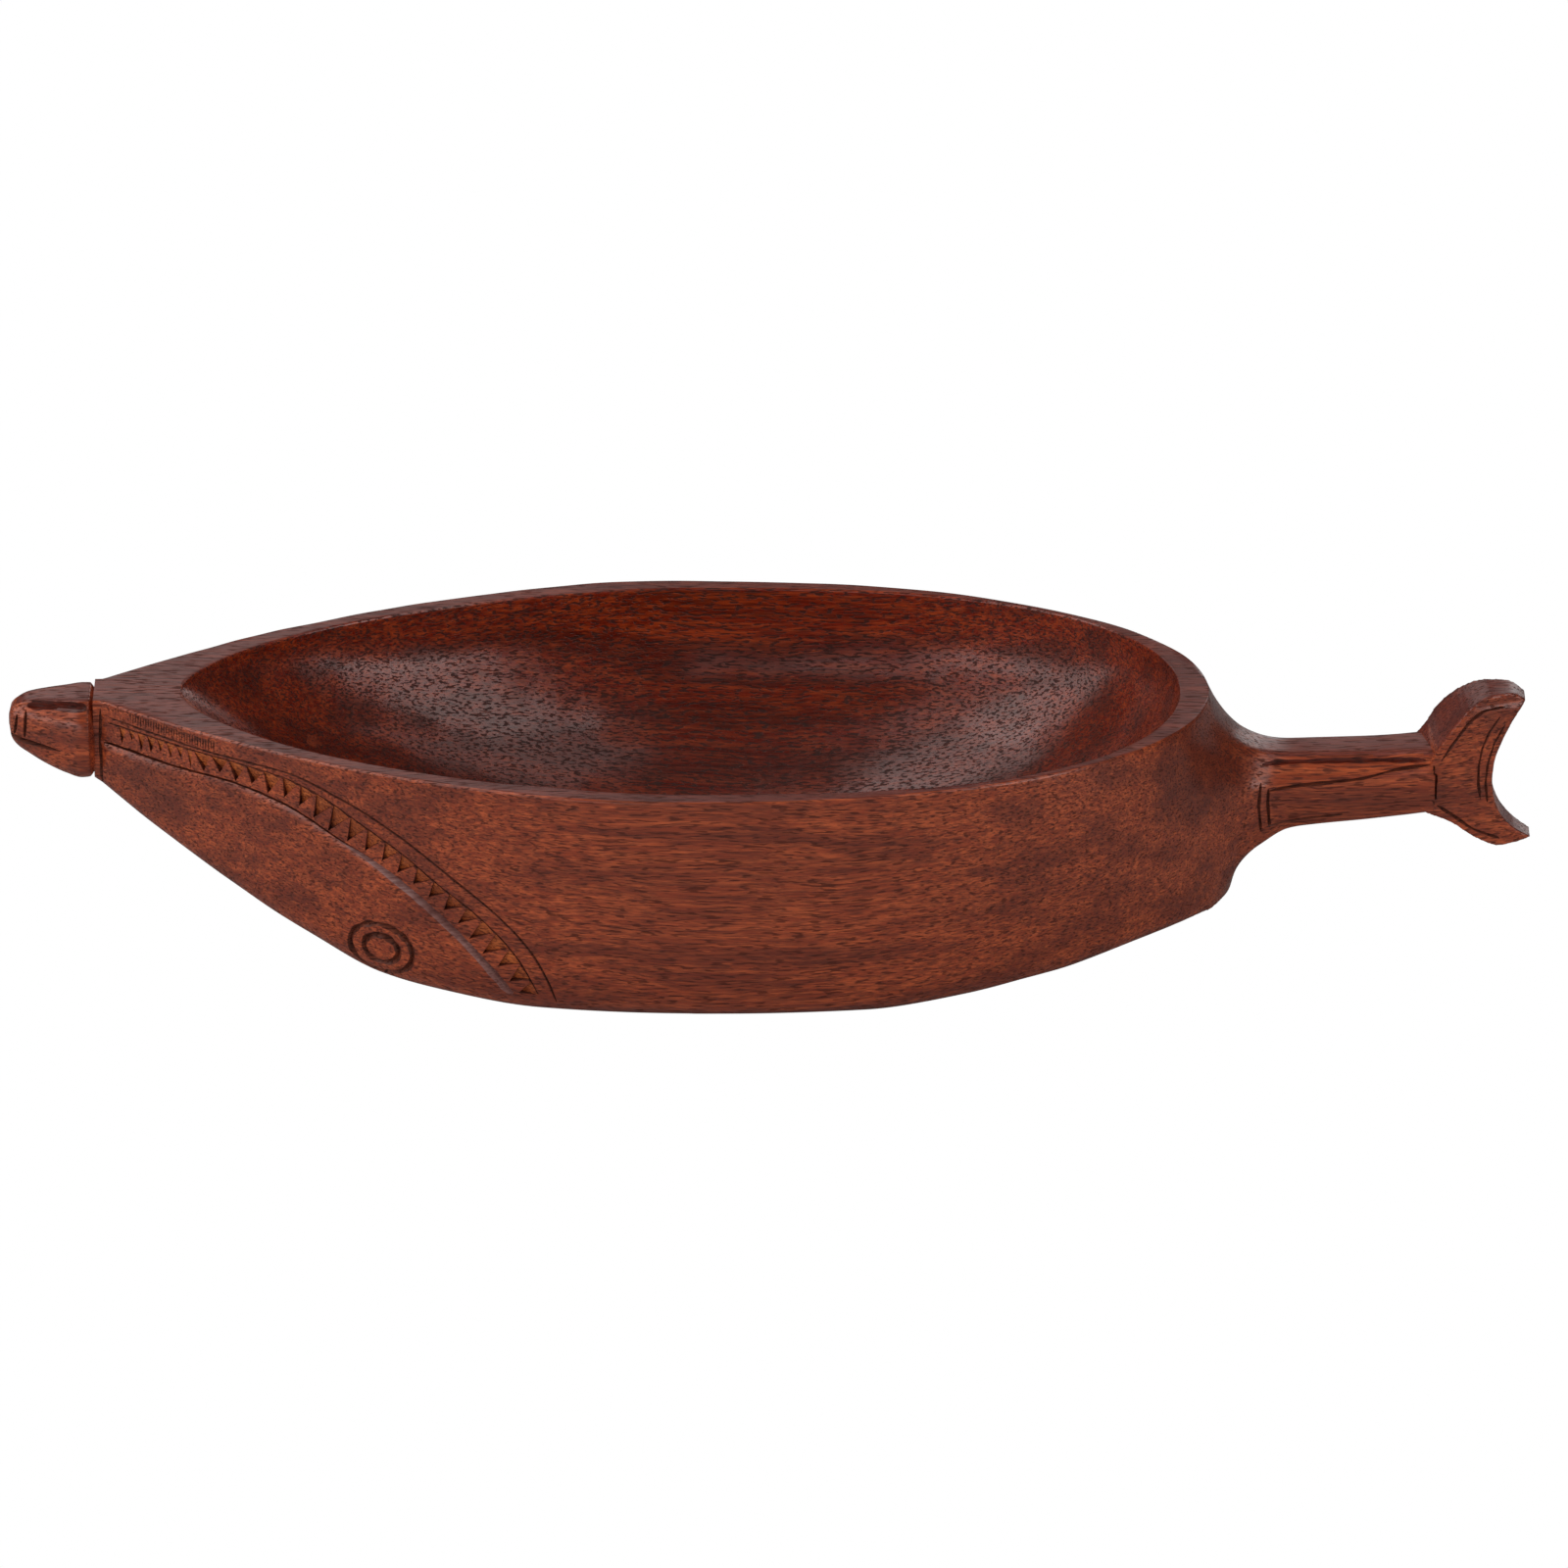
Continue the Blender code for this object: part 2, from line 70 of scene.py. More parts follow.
vessel_low, vessel_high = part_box("bowl_vessel")
NECK_X = vessel_low.x / MM
STEM_X = vessel_high.x / MM
FIN_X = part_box("tail_stem")[1].x / MM
RIM_HEIGHT = vessel_high.z / MM
RIM_HALF = vessel_high.y / MM
print("vessel runs from", round(NECK_X, 1), "to", round(STEM_X, 1), "mm, rim", round(RIM_HEIGHT, 1), "mm up")

# %% [markdown]
# ## The lines of the form
#
# A boat builder would draw three things: the rim seen from above, the keel seen from the side, and a few
# cross-sections. The bow half of the rim is close to a parabola and the stern half is a blunt ellipse, so two
# short formulas hold the whole leaf. What has no formula, such as the keel and the stem, is a smooth curve
# through a handful of points. Lengths in these tables are millimetres, and depths run down from the rim.

# %% Sizes of the rim, the cavity and the hull
WIDEST_X = -20.0
BOW_RUN, BOW_POWER = 164.0, 1.95
STERN_RUN, STERN_POWER = 134.8, 2.2
NECK_HALF = 7.4
RIM_TIP_X = WIDEST_X + STERN_RUN

MOUTH_HALF = 66.0
MOUTH_BOW_X, MOUTH_BOW_POWER, MOUTH_BOW_ROUND = -154.7, 1.75, 0.6
MOUTH_STERN_X, MOUTH_STERN_POWER, MOUTH_STERN_ROUND = 107.3, 2.85, 0.5
CAVITY_DEPTH, CAVITY_SECTION = 57.0, 2.3
CAVITY_BOW_POWER, CAVITY_BOW_ROUND = 2.0, 0.9
CAVITY_STERN_POWER, CAVITY_STERN_ROUND = 2.4, 0.6

CHINE_RATIO, SIDE_BULGE, CHINE_ROUND, LEAST_CHINE = 0.86, 1.6, 9.0, 0.25
STERN_RAKE, RAKE_LEVEL, ROOT_FILLET = 8.0, 0.68, 16.0
print("widest", 2 * RIM_HALF, "mm; cavity", CAVITY_DEPTH, "mm deep")

# %% Keel and stem
# x, depth
KEEL = np.array([
    (-180.0, 21.5), (-166.5, 30.2), (-120.0, 55.1), (-101.0, 63.2), (-88.0, 65.1), (-60.0, 67.5),
    (25.0, 67.5), (50.0, 65.1), (75.0, 61.3), (98.0, 57.2), (114.0, 56.2), (128.0, 56.8)])

# x, depth of the top, depth of the bottom, half-width of the top flat, half-width of the side
STEM = np.array([
    (110.0, 16.6, 39.2, 5.6, 10.0), (128.0, 16.2, 39.2, 5.7, 10.0), (136.0, 16.0, 37.0, 5.8, 10.0),
    (158.0, 15.5, 34.2, 6.3, 10.0), (173.0, 14.8, 31.6, 7.6, 10.4)])
STEM_CORNER, STEM_EDGE_ROUND, STEM_LOWER_EXTRA = 0.28, 1.6, 1.2


def smooth_curve(points, x, column=1):
    """Monotone cubic through rows of control points, for a whole array of x at once."""
    xs, ys = points[:, 0], points[:, column]
    slopes = np.diff(ys) / np.diff(xs)
    left, right = slopes[:-1], slopes[1:]
    total = np.where(left * right > 0, left + right, 1.0)
    inner = np.where(left * right > 0, 2 * left * right / total, 0.0)
    tangents = np.concatenate([slopes[:1], inner, slopes[-1:]])
    x = np.clip(x, xs[0], xs[-1])
    i = np.clip(np.searchsorted(xs, x) - 1, 0, len(xs) - 2)
    h = xs[i + 1] - xs[i]
    t = (x - xs[i]) / h
    return ((1 + 2 * t) * (1 - t) ** 2 * ys[i] + t * (1 - t) ** 2 * h * tangents[i]
            + t * t * (3 - 2 * t) * ys[i + 1] + t * t * (t - 1) * h * tangents[i + 1])


print("keel is deepest at", KEEL[:, 1].max(), "mm; depth amidships", smooth_curve(KEEL, np.array([WIDEST_X])))


# %% The rim and the mouth of the cavity
def rim_half(x):
    """Half-width of the rim's outer edge."""
    bow = np.clip((WIDEST_X - x) / BOW_RUN, 0, 1)
    stern = np.clip((x - WIDEST_X) / STERN_RUN, 0, 1)
    bow_half = np.maximum(NECK_HALF, RIM_HALF * (1 - bow ** BOW_POWER))
    return np.where(x < WIDEST_X, bow_half, RIM_HALF * np.sqrt(1 - stern ** STERN_POWER))


def along_mouth(x, bow_power, bow_round, stern_power, stern_round):
    """Share from 0 at both ends of the mouth to 1 at its widest place."""
    bow = np.clip((WIDEST_X - x) / (WIDEST_X - MOUTH_BOW_X), 0, 1)
    stern = np.clip((x - WIDEST_X) / (MOUTH_STERN_X - WIDEST_X), 0, 1)
    stern_share = (1 - stern ** stern_power) ** stern_round
    return np.where(x < WIDEST_X, (1 - bow ** bow_power) ** bow_round, stern_share)


def mouth_half(x):
    """Half-width of the cavity at the rim."""
    return MOUTH_HALF * along_mouth(x, MOUTH_BOW_POWER, MOUTH_BOW_ROUND, MOUTH_STERN_POWER, MOUTH_STERN_ROUND)


def cavity_depth(x):
    """Depth of the cavity on the centreline."""
    return CAVITY_DEPTH * along_mouth(
        x, CAVITY_BOW_POWER, CAVITY_BOW_ROUND, CAVITY_STERN_POWER, CAVITY_STERN_ROUND)


print("rim half-width over the eye:", round(float(rim_half(-100.0)), 1), "mm")

# %% [markdown]
# ## A field that knows where the wood is
#
# The stern is the hard part: a blunt hull, a stem growing out of it, and a cove between them. Drawing that
# cove by hand is slow. Instead a function says how far any point is outside the wood, below zero inside.
# Two such distances are blended with a smooth minimum, which fills the inner corner like a gouge does.

# %% Distance to the vessel and the stem
def smooth_min(a, b, reach):
    """Smaller of two values, rounded where they are within reach of each other."""
    h = np.maximum(reach - np.abs(a - b), 0.0) / reach
    return np.minimum(a, b) - h * h * reach / 4


def stem_distance(x, y, depth):
    """Eight-sided stem with softened edges."""
    top, bottom, flat, side = (smooth_curve(STEM, x, column) for column in (1, 2, 3, 4))
    corner = STEM_CORNER * (bottom - top)
    slope = (side - flat) / corner
    lower_flat = flat + STEM_LOWER_EXTRA
    lower_slope = (side - lower_flat) / corner
    upper = (y - flat - slope * (depth - top)) / np.sqrt(1 + slope ** 2)
    lower = (y - lower_flat - lower_slope * (bottom - depth)) / np.sqrt(1 + lower_slope ** 2)
    furthest = y - side
    for gap in (upper, lower, top - depth, depth - bottom):
        furthest = -smooth_min(-furthest, -gap, STEM_EDGE_ROUND)
    return furthest


def wood_distance(x, y, depth):
    """Below zero inside the vessel or the stem, about in millimetres."""
    keel = smooth_curve(KEEL, x)
    s = depth / keel
    taper = 1 - (1 - CHINE_RATIO) * s
    bulge = SIDE_BULGE * 4 * s * (1 - s)
    rim = rim_half(x)
    bow_side = y - rim * taper - bulge * np.minimum(1.0, rim / RIM_HALF)
    run = STERN_RUN + STERN_RAKE * (1 - ((s - RAKE_LEVEL) / RAKE_LEVEL) ** 2)
    t = np.maximum(x - WIDEST_X, 0.0) / run
    half = RIM_HALF * taper + bulge
    value = t ** STERN_POWER + (y / half) ** 2 - 1
    slope = np.hypot(STERN_POWER * t ** (STERN_POWER - 1) / run, 2 * y / half ** 2)
    side = np.where(x < WIDEST_X, bow_side, value / np.maximum(slope, 1e-4))
    with_stem = smooth_min(side, stem_distance(x, y, depth), ROOT_FILLET)
    side = np.where(x > STEM[0, 0], with_stem, side)
    reach = CHINE_ROUND * np.minimum(1.0, rim / RIM_HALF + LEAST_CHINE)
    return -smooth_min(-side, -(depth - keel), reach)


print("wood from a point 30 mm down amidships:",
      round(float(wood_distance(np.array([0.0]), np.array([0.0]), np.array([30.0]))[0]), 1), "mm")

# %% Finding the surface
SEARCH_WIDTH, SEARCH_RAY = 110.0, 130.0


def solve(inside, high, rounds=30):
    """Bisects for the length at which inside(length) stops being true."""
    low = np.zeros_like(high)
    for _ in range(rounds):
        middle = (low + high) / 2
        within = inside(middle)
        low = np.where(within, middle, low)
        high = np.where(within, high, middle)
    return low


def side_half(x, depth):
    """Half-width of the wood at a depth."""
    x, depth = np.broadcast_arrays(np.asarray(x, float), np.asarray(depth, float))
    return solve(lambda y: wood_distance(x, y, depth) < 0, np.full(x.shape, SEARCH_WIDTH))


print("half-width amidships, 30 mm down:", round(float(side_half(0.0, 30.0)), 1), "mm")

# %% [markdown]
# ## Sections and skin
#
# Each cross-section runs from the keel up the side, over a rounded rim and down into the cavity. Rays from a
# point inside the wood find the side, so the same code serves the wide vessel and the narrow stem. The
# stations crowd together at the tips, where the outline turns fastest.

# %% Half-sections for a row of stations
SIDE_STEPS, RIM_STEPS, EDGE_STEPS, CAVITY_STEPS = 62, 5, 4, 40
RIM_EDGE, RIM_EDGE_SHARE = 0.8, 0.25
MOUTH_EDGE, MOUTH_EDGE_SHARE = 0.7, 0.2
RAY_CENTRE = 0.45
STEM_BASE_X = (118.0, 125.0)
UNDER_SHARE, LEAST_UNDER_HALF, SIDE_CROWDING = 0.4, 8.0, 1.25


def bend(start, corner, end, steps):
    """Rounded corner as a quadratic curve, without its first point."""
    t = np.linspace(0, 1, steps + 1)[1:, None]
    sy = (1 - t) ** 2 * start[0] + 2 * t * (1 - t) * corner[0] + t * t * end[0]
    sd = (1 - t) ** 2 * start[1] + 2 * t * (1 - t) * corner[1] + t * t * end[1]
    return sy, sd


def outer_side(x, rim, edge):
    """Arrays (points, stations) of y and depth from the keel up to the rim's outer edge."""
    keel, stem_low = smooth_curve(KEEL, x), smooth_curve(STEM, x, 2)
    low = np.interp(x, STEM_BASE_X, [0.0, 1.0])
    base = keel * (1 - low) + stem_low * low
    centre = RAY_CENTRE * keel
    edge_half = side_half(x, np.maximum(edge, 1e-3))
    top_angle = np.where(rim > 0, np.arctan2(edge_half, centre - edge), 0.0)
    chine = np.pi - np.arctan2(np.maximum(rim * CHINE_RATIO, LEAST_UNDER_HALF), base - centre)
    share = np.linspace(0, 1, SIDE_STEPS + 1)[:, None]
    under = np.pi + (chine - np.pi) * np.sin(np.minimum(share / UNDER_SHARE, 1) * np.pi / 2)
    rise = np.clip((share - UNDER_SHARE) / (1 - UNDER_SHARE), 0, 1) ** SIDE_CROWDING
    angle = np.where(share < UNDER_SHARE, under, chine + (top_angle - chine) * rise)
    sy, cy = np.sin(angle), np.cos(angle)
    reach = solve(lambda r: wood_distance(x[None, :], r * sy, centre - r * cy) < 0,
                  np.full(angle.shape, SEARCH_RAY))
    y, depth = reach * sy, centre - reach * cy
    y[0] = 0.0
    y[-1] = np.where(rim > 0, edge_half, 0.0)
    depth[-1] = np.where(rim > 0, edge, depth[-1])
    return y, depth


def half_sections(x):
    """Arrays (points, stations) of y and depth from keel to cavity floor."""
    rim = np.where(x >= RIM_TIP_X, 0.0, rim_half(x))
    edge = np.minimum(RIM_EDGE, RIM_EDGE_SHARE * rim)
    y, depth = outer_side(x, rim, edge)
    top = np.where(rim > 0, 0.0, depth[-1])
    inner = np.where((x > MOUTH_BOW_X) & (x < MOUTH_STERN_X), mouth_half(x), 0.0)
    inner_edge = np.minimum(MOUTH_EDGE, MOUTH_EDGE_SHARE * inner)
    flat_start = np.maximum(rim - edge, 0)
    flat_end = np.minimum(inner + inner_edge, flat_start)
    t = np.linspace(0, 1, RIM_STEPS + 1)[1:, None]
    floor = np.where(inner > 0, cavity_depth(x), 0.0)
    power = 2 / CAVITY_SECTION
    deep_share = np.clip(inner_edge / np.maximum(floor, 1e-6), 0, 1)
    start = np.where(floor > 0, np.arcsin(deep_share ** (1 / power)), 0.0)
    lip = (inner * np.cos(start) ** power, top + floor * np.sin(start) ** power)
    a = start + (np.pi / 2 - start) * np.linspace(0, 1, CAVITY_STEPS + 1)[1:, None]
    rows = [(y, depth), bend((y[-1], depth[-1]), (rim, top), (flat_start, top), EDGE_STEPS),
            (flat_start + (flat_end - flat_start) * t, top + 0 * t),
            bend((flat_end, top), (inner, top), lip, EDGE_STEPS),
            (inner * np.maximum(np.cos(a), 0) ** power, top + floor * np.sin(a) ** power)]
    wide = [[np.broadcast_to(part, (len(part), len(x))) for part in row] for row in rows]
    return np.concatenate([row[0] for row in wide]), np.concatenate([row[1] for row in wide])


print("points in a half-section:", len(half_sections(np.array([0.0]))[0]))


# %% Stations along the bowl
def crowded(start, end, steps):
    """Stations between two places, closer together at both."""
    t = np.linspace(0, np.pi, steps + 1)
    return start + (end - start) * (1 - np.cos(t)) / 2


TRANSOM_X = RIM_TIP_X + STERN_RAKE
STEM_OVERLAP = 2.0
stations = np.unique(np.round(np.concatenate([
    crowded(NECK_X, MOUTH_BOW_X, 16), crowded(MOUTH_BOW_X, MOUTH_STERN_X, 210),
    crowded(MOUTH_STERN_X, RIM_TIP_X, 22), np.linspace(RIM_TIP_X, TRANSOM_X + 1, 26),
    np.linspace(TRANSOM_X + 1, STEM_X, 10)]), 5))
stem_stations = np.linspace(STEM_X, FIN_X + STEM_OVERLAP, 64)
print(len(stations), "vessel stations,", len(stem_stations), "stem stations")

# %% [markdown]
# ## The waver of the hand
#
# No carved surface is true. The outside was shaved along the grain with a long flat sweep, so it waves slowly
# along X and faster across it. The cavity was hollowed with a gouge and scraped. A sum of a few seeded
# sine waves gives a field that is smooth, repeatable and the same for any point, so neighbouring bodies meet.

# %% Waver
# height and wavelengths in millimetres, seed
HAND_WAVES = ((0.22, (60, 26, 22), 7), (0.07, (24, 9, 8), 8))
GOUGE_WAVES = ((0.20, (34, 26, 22), 9), (0.06, (14, 9, 9), 10))
STROKE_WAVES, EYE_WAVES = ((5, 5, 5), 11), ((4, 4, 4), 12)


def waver(points, wavelengths, seed, waves=18):
    """Smooth pseudo-random field of about -1 to 1 over points in millimetres."""
    rng = np.random.default_rng(seed)
    total = np.zeros(len(points))
    for _ in range(waves):
        direction = rng.normal(size=3)
        direction /= np.linalg.norm(direction)
        k = direction / np.array(wavelengths) * rng.uniform(0.6, 1.4) * 2 * np.pi
        total += np.cos(points @ k + rng.uniform(0, 2 * np.pi))
    return total * math.sqrt(2 / waves) / 2


def tool_waver(points, layers):
    """Height left by a tool, in millimetres."""
    return sum(height * waver(points, wavelengths, seed) for height, wavelengths, seed in layers)


print("waver at the origin:", tool_waver(np.zeros((1, 3)), HAND_WAVES), "mm")


# %% Small helpers for meshes
def to_world(x, y, depth):
    """Points in metres from millimetres along, across and down from the rim."""
    return np.stack([x * MM, y * MM, (RIM_HEIGHT - depth) * MM], -1)


def vectors_of(items, key):
    """One row for each vertex or face."""
    out = np.zeros(len(items) * 3, np.float32)
    items.foreach_get(key, out)
    return out.reshape(-1, 3).astype(float)


def link(name, mesh):
    """New object in the scene."""
    obj = bpy.data.objects.new(name, mesh)
    bpy.context.scene.collection.objects.link(obj)
    return obj


def mesh_from(bm, name):
    """Turns the faces outwards and makes a mesh of them."""
    bmesh.ops.recalc_face_normals(bm, faces=bm.faces[:])
    mesh = bpy.data.meshes.new(name)
    bm.to_mesh(mesh)
    bm.free()
    return mesh


print("rim's middle lies at", to_world(WIDEST_X, 0.0, 0.0), "m")

# %% Skin over rings
SAME_POINT, NO_LENGTH = 2e-7, 1e-8


def skin(name, rings):
    """Closed skin over rings (stations, points, xyz in metres), capped at both ends."""
    n, m, _ = rings.shape
    index = np.arange(n * m).reshape(n, m)
    right = np.roll(index, -1, axis=1)
    quads = np.stack([index[:-1], right[:-1], right[1:], index[1:]], -1).reshape(-1, 4)
    faces = quads.tolist() + [index[0].tolist(), index[-1][::-1].tolist()]
    mesh = bpy.data.meshes.new(name)
    mesh.from_pydata(rings.reshape(-1, 3).tolist(), [], faces)
    bm = bmesh.new()
    bm.from_mesh(mesh)
    bmesh.ops.remove_doubles(bm, verts=bm.verts[:], dist=SAME_POINT)
    bmesh.ops.dissolve_degenerate(bm, edges=bm.edges[:], dist=NO_LENGTH)
    bmesh.ops.recalc_face_normals(bm, faces=bm.faces[:])
    bm.to_mesh(mesh)
    bm.free()
    return mesh


def mirrored_rings(x, y, d):
    """Full rings from half-sections (points, stations)."""
    near = to_world(np.broadcast_to(x, y.shape), -y, d)
    far = to_world(np.broadcast_to(x, y.shape), y, d)[1:-1][::-1]
    return np.concatenate([near, far]).transpose(1, 0, 2)


def shift(mesh, heights):
    """Moves each point along its normal by a height in millimetres, inside the plain model's box."""
    moved = vectors_of(mesh.vertices, "co") + vectors_of(mesh.vertices, "normal") * heights[:, None] * MM
    moved = np.clip(moved, np.array(cad_box[0]), np.array(cad_box[1]))
    mesh.vertices.foreach_set("co", moved.astype(np.float32).ravel())
    mesh.update()


print("a skin can grow to", [round(float(v), 4) for v in cad_box[1]], "m")

# %% Vessel and stem
CAVITY_MARGIN, RIM_SKIN = 1.0, 0.05
CALM_ENDS, CALM_FOOT, CALM_RIM = 4, 3, 0.35
STEM_CALM, STEM_WAVER = 6, 0.6


def in_cavity(points):
    """1 on the cavity's wall, 0 outside, for points in millimetres."""
    x, y, depth = points[:, 0], np.abs(points[:, 1]), RIM_HEIGHT - points[:, 2]
    share = np.clip(depth / np.maximum(cavity_depth(x), 1e-3), 0, 1)
    reach = mouth_half(x) * (1 - share ** CAVITY_SECTION) ** (1 / CAVITY_SECTION)
    inside = (x > MOUTH_BOW_X) & (x < MOUTH_STERN_X) & (y < reach + CAVITY_MARGIN) & (depth > RIM_SKIN)
    return inside.astype(float)


def vessel_height(points):
    """Waver to add along the normal: calm at the foot and the rim, none where two bodies meet."""
    mask = in_cavity(points)
    ends = np.clip(np.minimum(points[:, 0] - NECK_X, STEM_X - points[:, 0]) / CALM_ENDS, 0, 1)
    foot = np.clip((points[:, 2] - 0.5) / CALM_FOOT, 0, 1)
    rim = np.where(points[:, 2] > RIM_HEIGHT - RIM_SKIN, CALM_RIM, 1.0)
    outside = tool_waver(points, HAND_WAVES) * foot * rim
    return (mask * tool_waver(points, GOUGE_WAVES) + (1 - mask) * outside) * ends


def stem_height(points):
    """Waver of the stem, none where it meets the vessel."""
    return STEM_WAVER * tool_waver(points, HAND_WAVES) * np.clip((points[:, 0] - STEM_X) / STEM_CALM, 0, 1)


def carved_body(name, node, along, height_over):
    """Body with its waver, from a row of stations."""
    mesh = skin(node, mirrored_rings(along, *half_sections(along)))
    shift(mesh, height_over(vectors_of(mesh.vertices, "co") / MM))
    return link(name, mesh)


vessel = carved_body("carved_vessel", "bowl_vessel", stations, vessel_height)
stem = carved_body("carved_stem", "tail_stem", stem_stations, stem_height)
print("vessel", len(vessel.data.polygons), "faces; stem", len(stem.data.polygons), "faces")

# %% [markdown]
# ## Snout and fin
#
# The snout is a loft like the vessel, but short. Its section is drawn once as shares of its width and height:
# a flat top with a hard edge, a steep step under it, a roll that takes the light, and a round belly. The fin
# is a forked plate that thins towards its tips and whose leading edge is planed at a slant. It is blocked out
# between a near and a far outline, then voxel-remeshed and relaxed, which softens its ridges like sanding.

# %% Snout
# x, depth of the top, depth of the bottom, half-width
SNOUT = np.array([
    (-200.0, 6.6, 9.6, 1.2), (-199.3, 4.2, 12.8, 3.0), (-197.5, 2.7, 15.0, 4.4), (-194.5, 1.4, 16.9, 5.6),
    (-190.0, 0.8, 19.4, 7.2), (-184.5, 0.4, 21.7, 8.8), (-180.5, 0.2, 22.7, 10.0), (-178.6, 0.2, 22.6, 9.8),
    (-177.5, 1.0, 21.6, 8.4), (-176.7, 1.8, 20.4, 6.4)])
# share of the half-width, share of the height, from the top centre to the bottom centre
SNOUT_SECTION = np.array([
    (0.0, 0.0), (0.35, 0.0), (0.62, 0.01), (0.68, 0.035), (0.70, 0.08), (0.76, 0.12), (0.88, 0.19),
    (0.97, 0.29), (1.0, 0.42), (1.0, 0.58), (0.95, 0.76), (0.82, 0.90), (0.60, 0.98), (0.30, 1.0),
    (0.0, 1.0)])
SNOUT_STEPS, SNOUT_SIDE_STEPS = 110, 64
END_WAVER, END_SINK = 0.9, 0.1


def end_height(points):
    """Waver of the snout and the fin, sunk a little so that it stays in their plain shapes."""
    return END_WAVER * tool_waver(points, HAND_WAVES) - END_SINK


def snout_rings():
    """Rings of the snout, crowded at its tip and its neck."""
    x = crowded(SNOUT[0, 0], SNOUT[-1, 0], SNOUT_STEPS)
    top, bottom, half = (smooth_curve(SNOUT, x, column) for column in (1, 2, 3))
    knots = np.linspace(0, 1, len(SNOUT_SECTION))
    at = np.linspace(1, 0, SNOUT_SIDE_STEPS + 1)
    across, down = (smooth_curve(np.column_stack([knots, shares]), at)[:, None] for shares in SNOUT_SECTION.T)
    return mirrored_rings(x, half * across, top + (bottom - top) * down)


snout_mesh = skin("snout", snout_rings())
shift(snout_mesh, end_height(vectors_of(snout_mesh.vertices, "co") / MM))
snout = link("carved_snout", snout_mesh)
print("snout", len(snout_mesh.polygons), "faces")

# %% The fin's outline
# x, depth, half-thickness along the leading edge, on the near and the far side
FIN_NEAR_TOP = np.array([
    (172.0, 20.0, 9.6), (174.2, 14.2, 9.7), (177.3, 9.4, 9.5), (181.2, 4.3, 8.4),
    (184.6, 1.1, 7.2), (188.6, -0.7, 6.0), (193.6, -1.0, 4.6), (197.9, 1.6, 3.2)])
FIN_FAR_TOP = np.array([
    (169.3, 15.4, 7.2), (172.0, 12.6, 8.4), (174.4, 9.0, 9.2), (177.3, 5.8, 9.3), (181.0, 2.7, 8.4),
    (184.6, 0.4, 7.2), (188.6, -0.8, 6.0), (193.6, -1.05, 4.6), (197.9, 1.6, 3.2)])
# depth, x
FIN_REAR = np.array([
    (1.6, 197.9), (7.2, 194.3), (13.2, 191.4), (19.0, 189.7), (24.0, 189.3), (29.0, 190.0),
    (33.6, 191.8), (37.9, 195.4), (41.0, 200.0)])
# x, depth
FIN_BOTTOM = np.array([
    (170.0, 30.0), (172.0, 31.4), (178.6, 34.9), (185.4, 40.2), (191.6, 42.9), (197.2, 42.2), (200.0, 41.0)])
FIN_END_X, FIN_ROOT_HALF, FIN_TIP_HALF, FIN_LOWER_THIN = 200.0, 10.2, 3.4, 0.6
FIN_EDGE_STEPS, FIN_REAR_STEPS = 20, 24


def fin_half(x):
    """Half-thickness of the plate."""
    return np.interp(x, [FIN_X, FIN_END_X], [FIN_ROOT_HALF, FIN_TIP_HALF])


def fin_outline(top):
    """Loop of x, depth and half-thickness, smooth along each edge."""
    top_x = np.linspace(top[0, 0], top[-1, 0], FIN_EDGE_STEPS)
    rear_depth = np.linspace(FIN_REAR[0, 0], FIN_REAR[-1, 0], FIN_REAR_STEPS)[1:]
    rear_x = smooth_curve(FIN_REAR, rear_depth)
    low_x = np.linspace(FIN_BOTTOM[-1, 0], FIN_BOTTOM[0, 0], FIN_EDGE_STEPS)[1:]
    x = np.concatenate([top_x, rear_x, low_x])
    depth = np.concatenate([smooth_curve(top, top_x), rear_depth, smooth_curve(FIN_BOTTOM, low_x)])
    half = np.concatenate([smooth_curve(top, top_x, 2), fin_half(rear_x), fin_half(low_x) - FIN_LOWER_THIN])
    return x, depth, half


print("the fin's outline has", len(fin_outline(FIN_NEAR_TOP)[0]), "points")

# %% Fin
FIN_VOXEL, FIN_RELAX = 0.45 * MM, 5


def fin_block():
    """Plate between the near and the far outline."""
    bm = bmesh.new()
    loops = []
    for top, side in ((FIN_NEAR_TOP, -1), (FIN_FAR_TOP, 1)):
        x, depth, half = fin_outline(top)
        loop = [bm.verts.new(p) for p in to_world(x, side * half, depth)]
        for corners in tessellate_polygon([[Vector((a, b, 0)) for a, b in zip(x, depth)]]):
            bm.faces.new([loop[c] for c in corners])
        loops.append(loop)
    near, far = loops
    for i in range(len(near)):
        j = (i + 1) % len(near)
        bm.faces.new((near[i], near[j], far[j], far[i]))
    return link("carved_fin", mesh_from(bm, "tail_fin"))


def settle(obj):
    """Bakes an object's modifiers into a plain mesh."""
    bpy.context.view_layer.update()
    shaped = obj.evaluated_get(bpy.context.evaluated_depsgraph_get())
    mesh = bpy.data.meshes.new_from_object(shaped)
    obj.modifiers.clear()
    obj.data = mesh
    return obj


fin = fin_block()
remesh = fin.modifiers.new("voxels", "REMESH")
remesh.mode = "VOXEL"
remesh.voxel_size = FIN_VOXEL
relax = fin.modifiers.new("relax", "SMOOTH")
relax.factor = 0.5
relax.iterations = FIN_RELAX
settle(fin)
shift(fin.data, end_height(vectors_of(fin.data.vertices, "co") / MM))
print("fin", len(fin.data.polygons), "faces")

# %% [markdown]
# ## Cutters made by Geometry Nodes
#
# A carver has two strokes here. A parting tool runs along a line and leaves a V groove. A knife takes out
# three-cornered chips in a row. Each stroke is a node tree: one sweeps a profile along a guide line, the
# other sets a chip at even steps. A guide is a thin mesh of edges that carries the outward direction of the
# wood as an attribute, so the profile always leans into the surface.

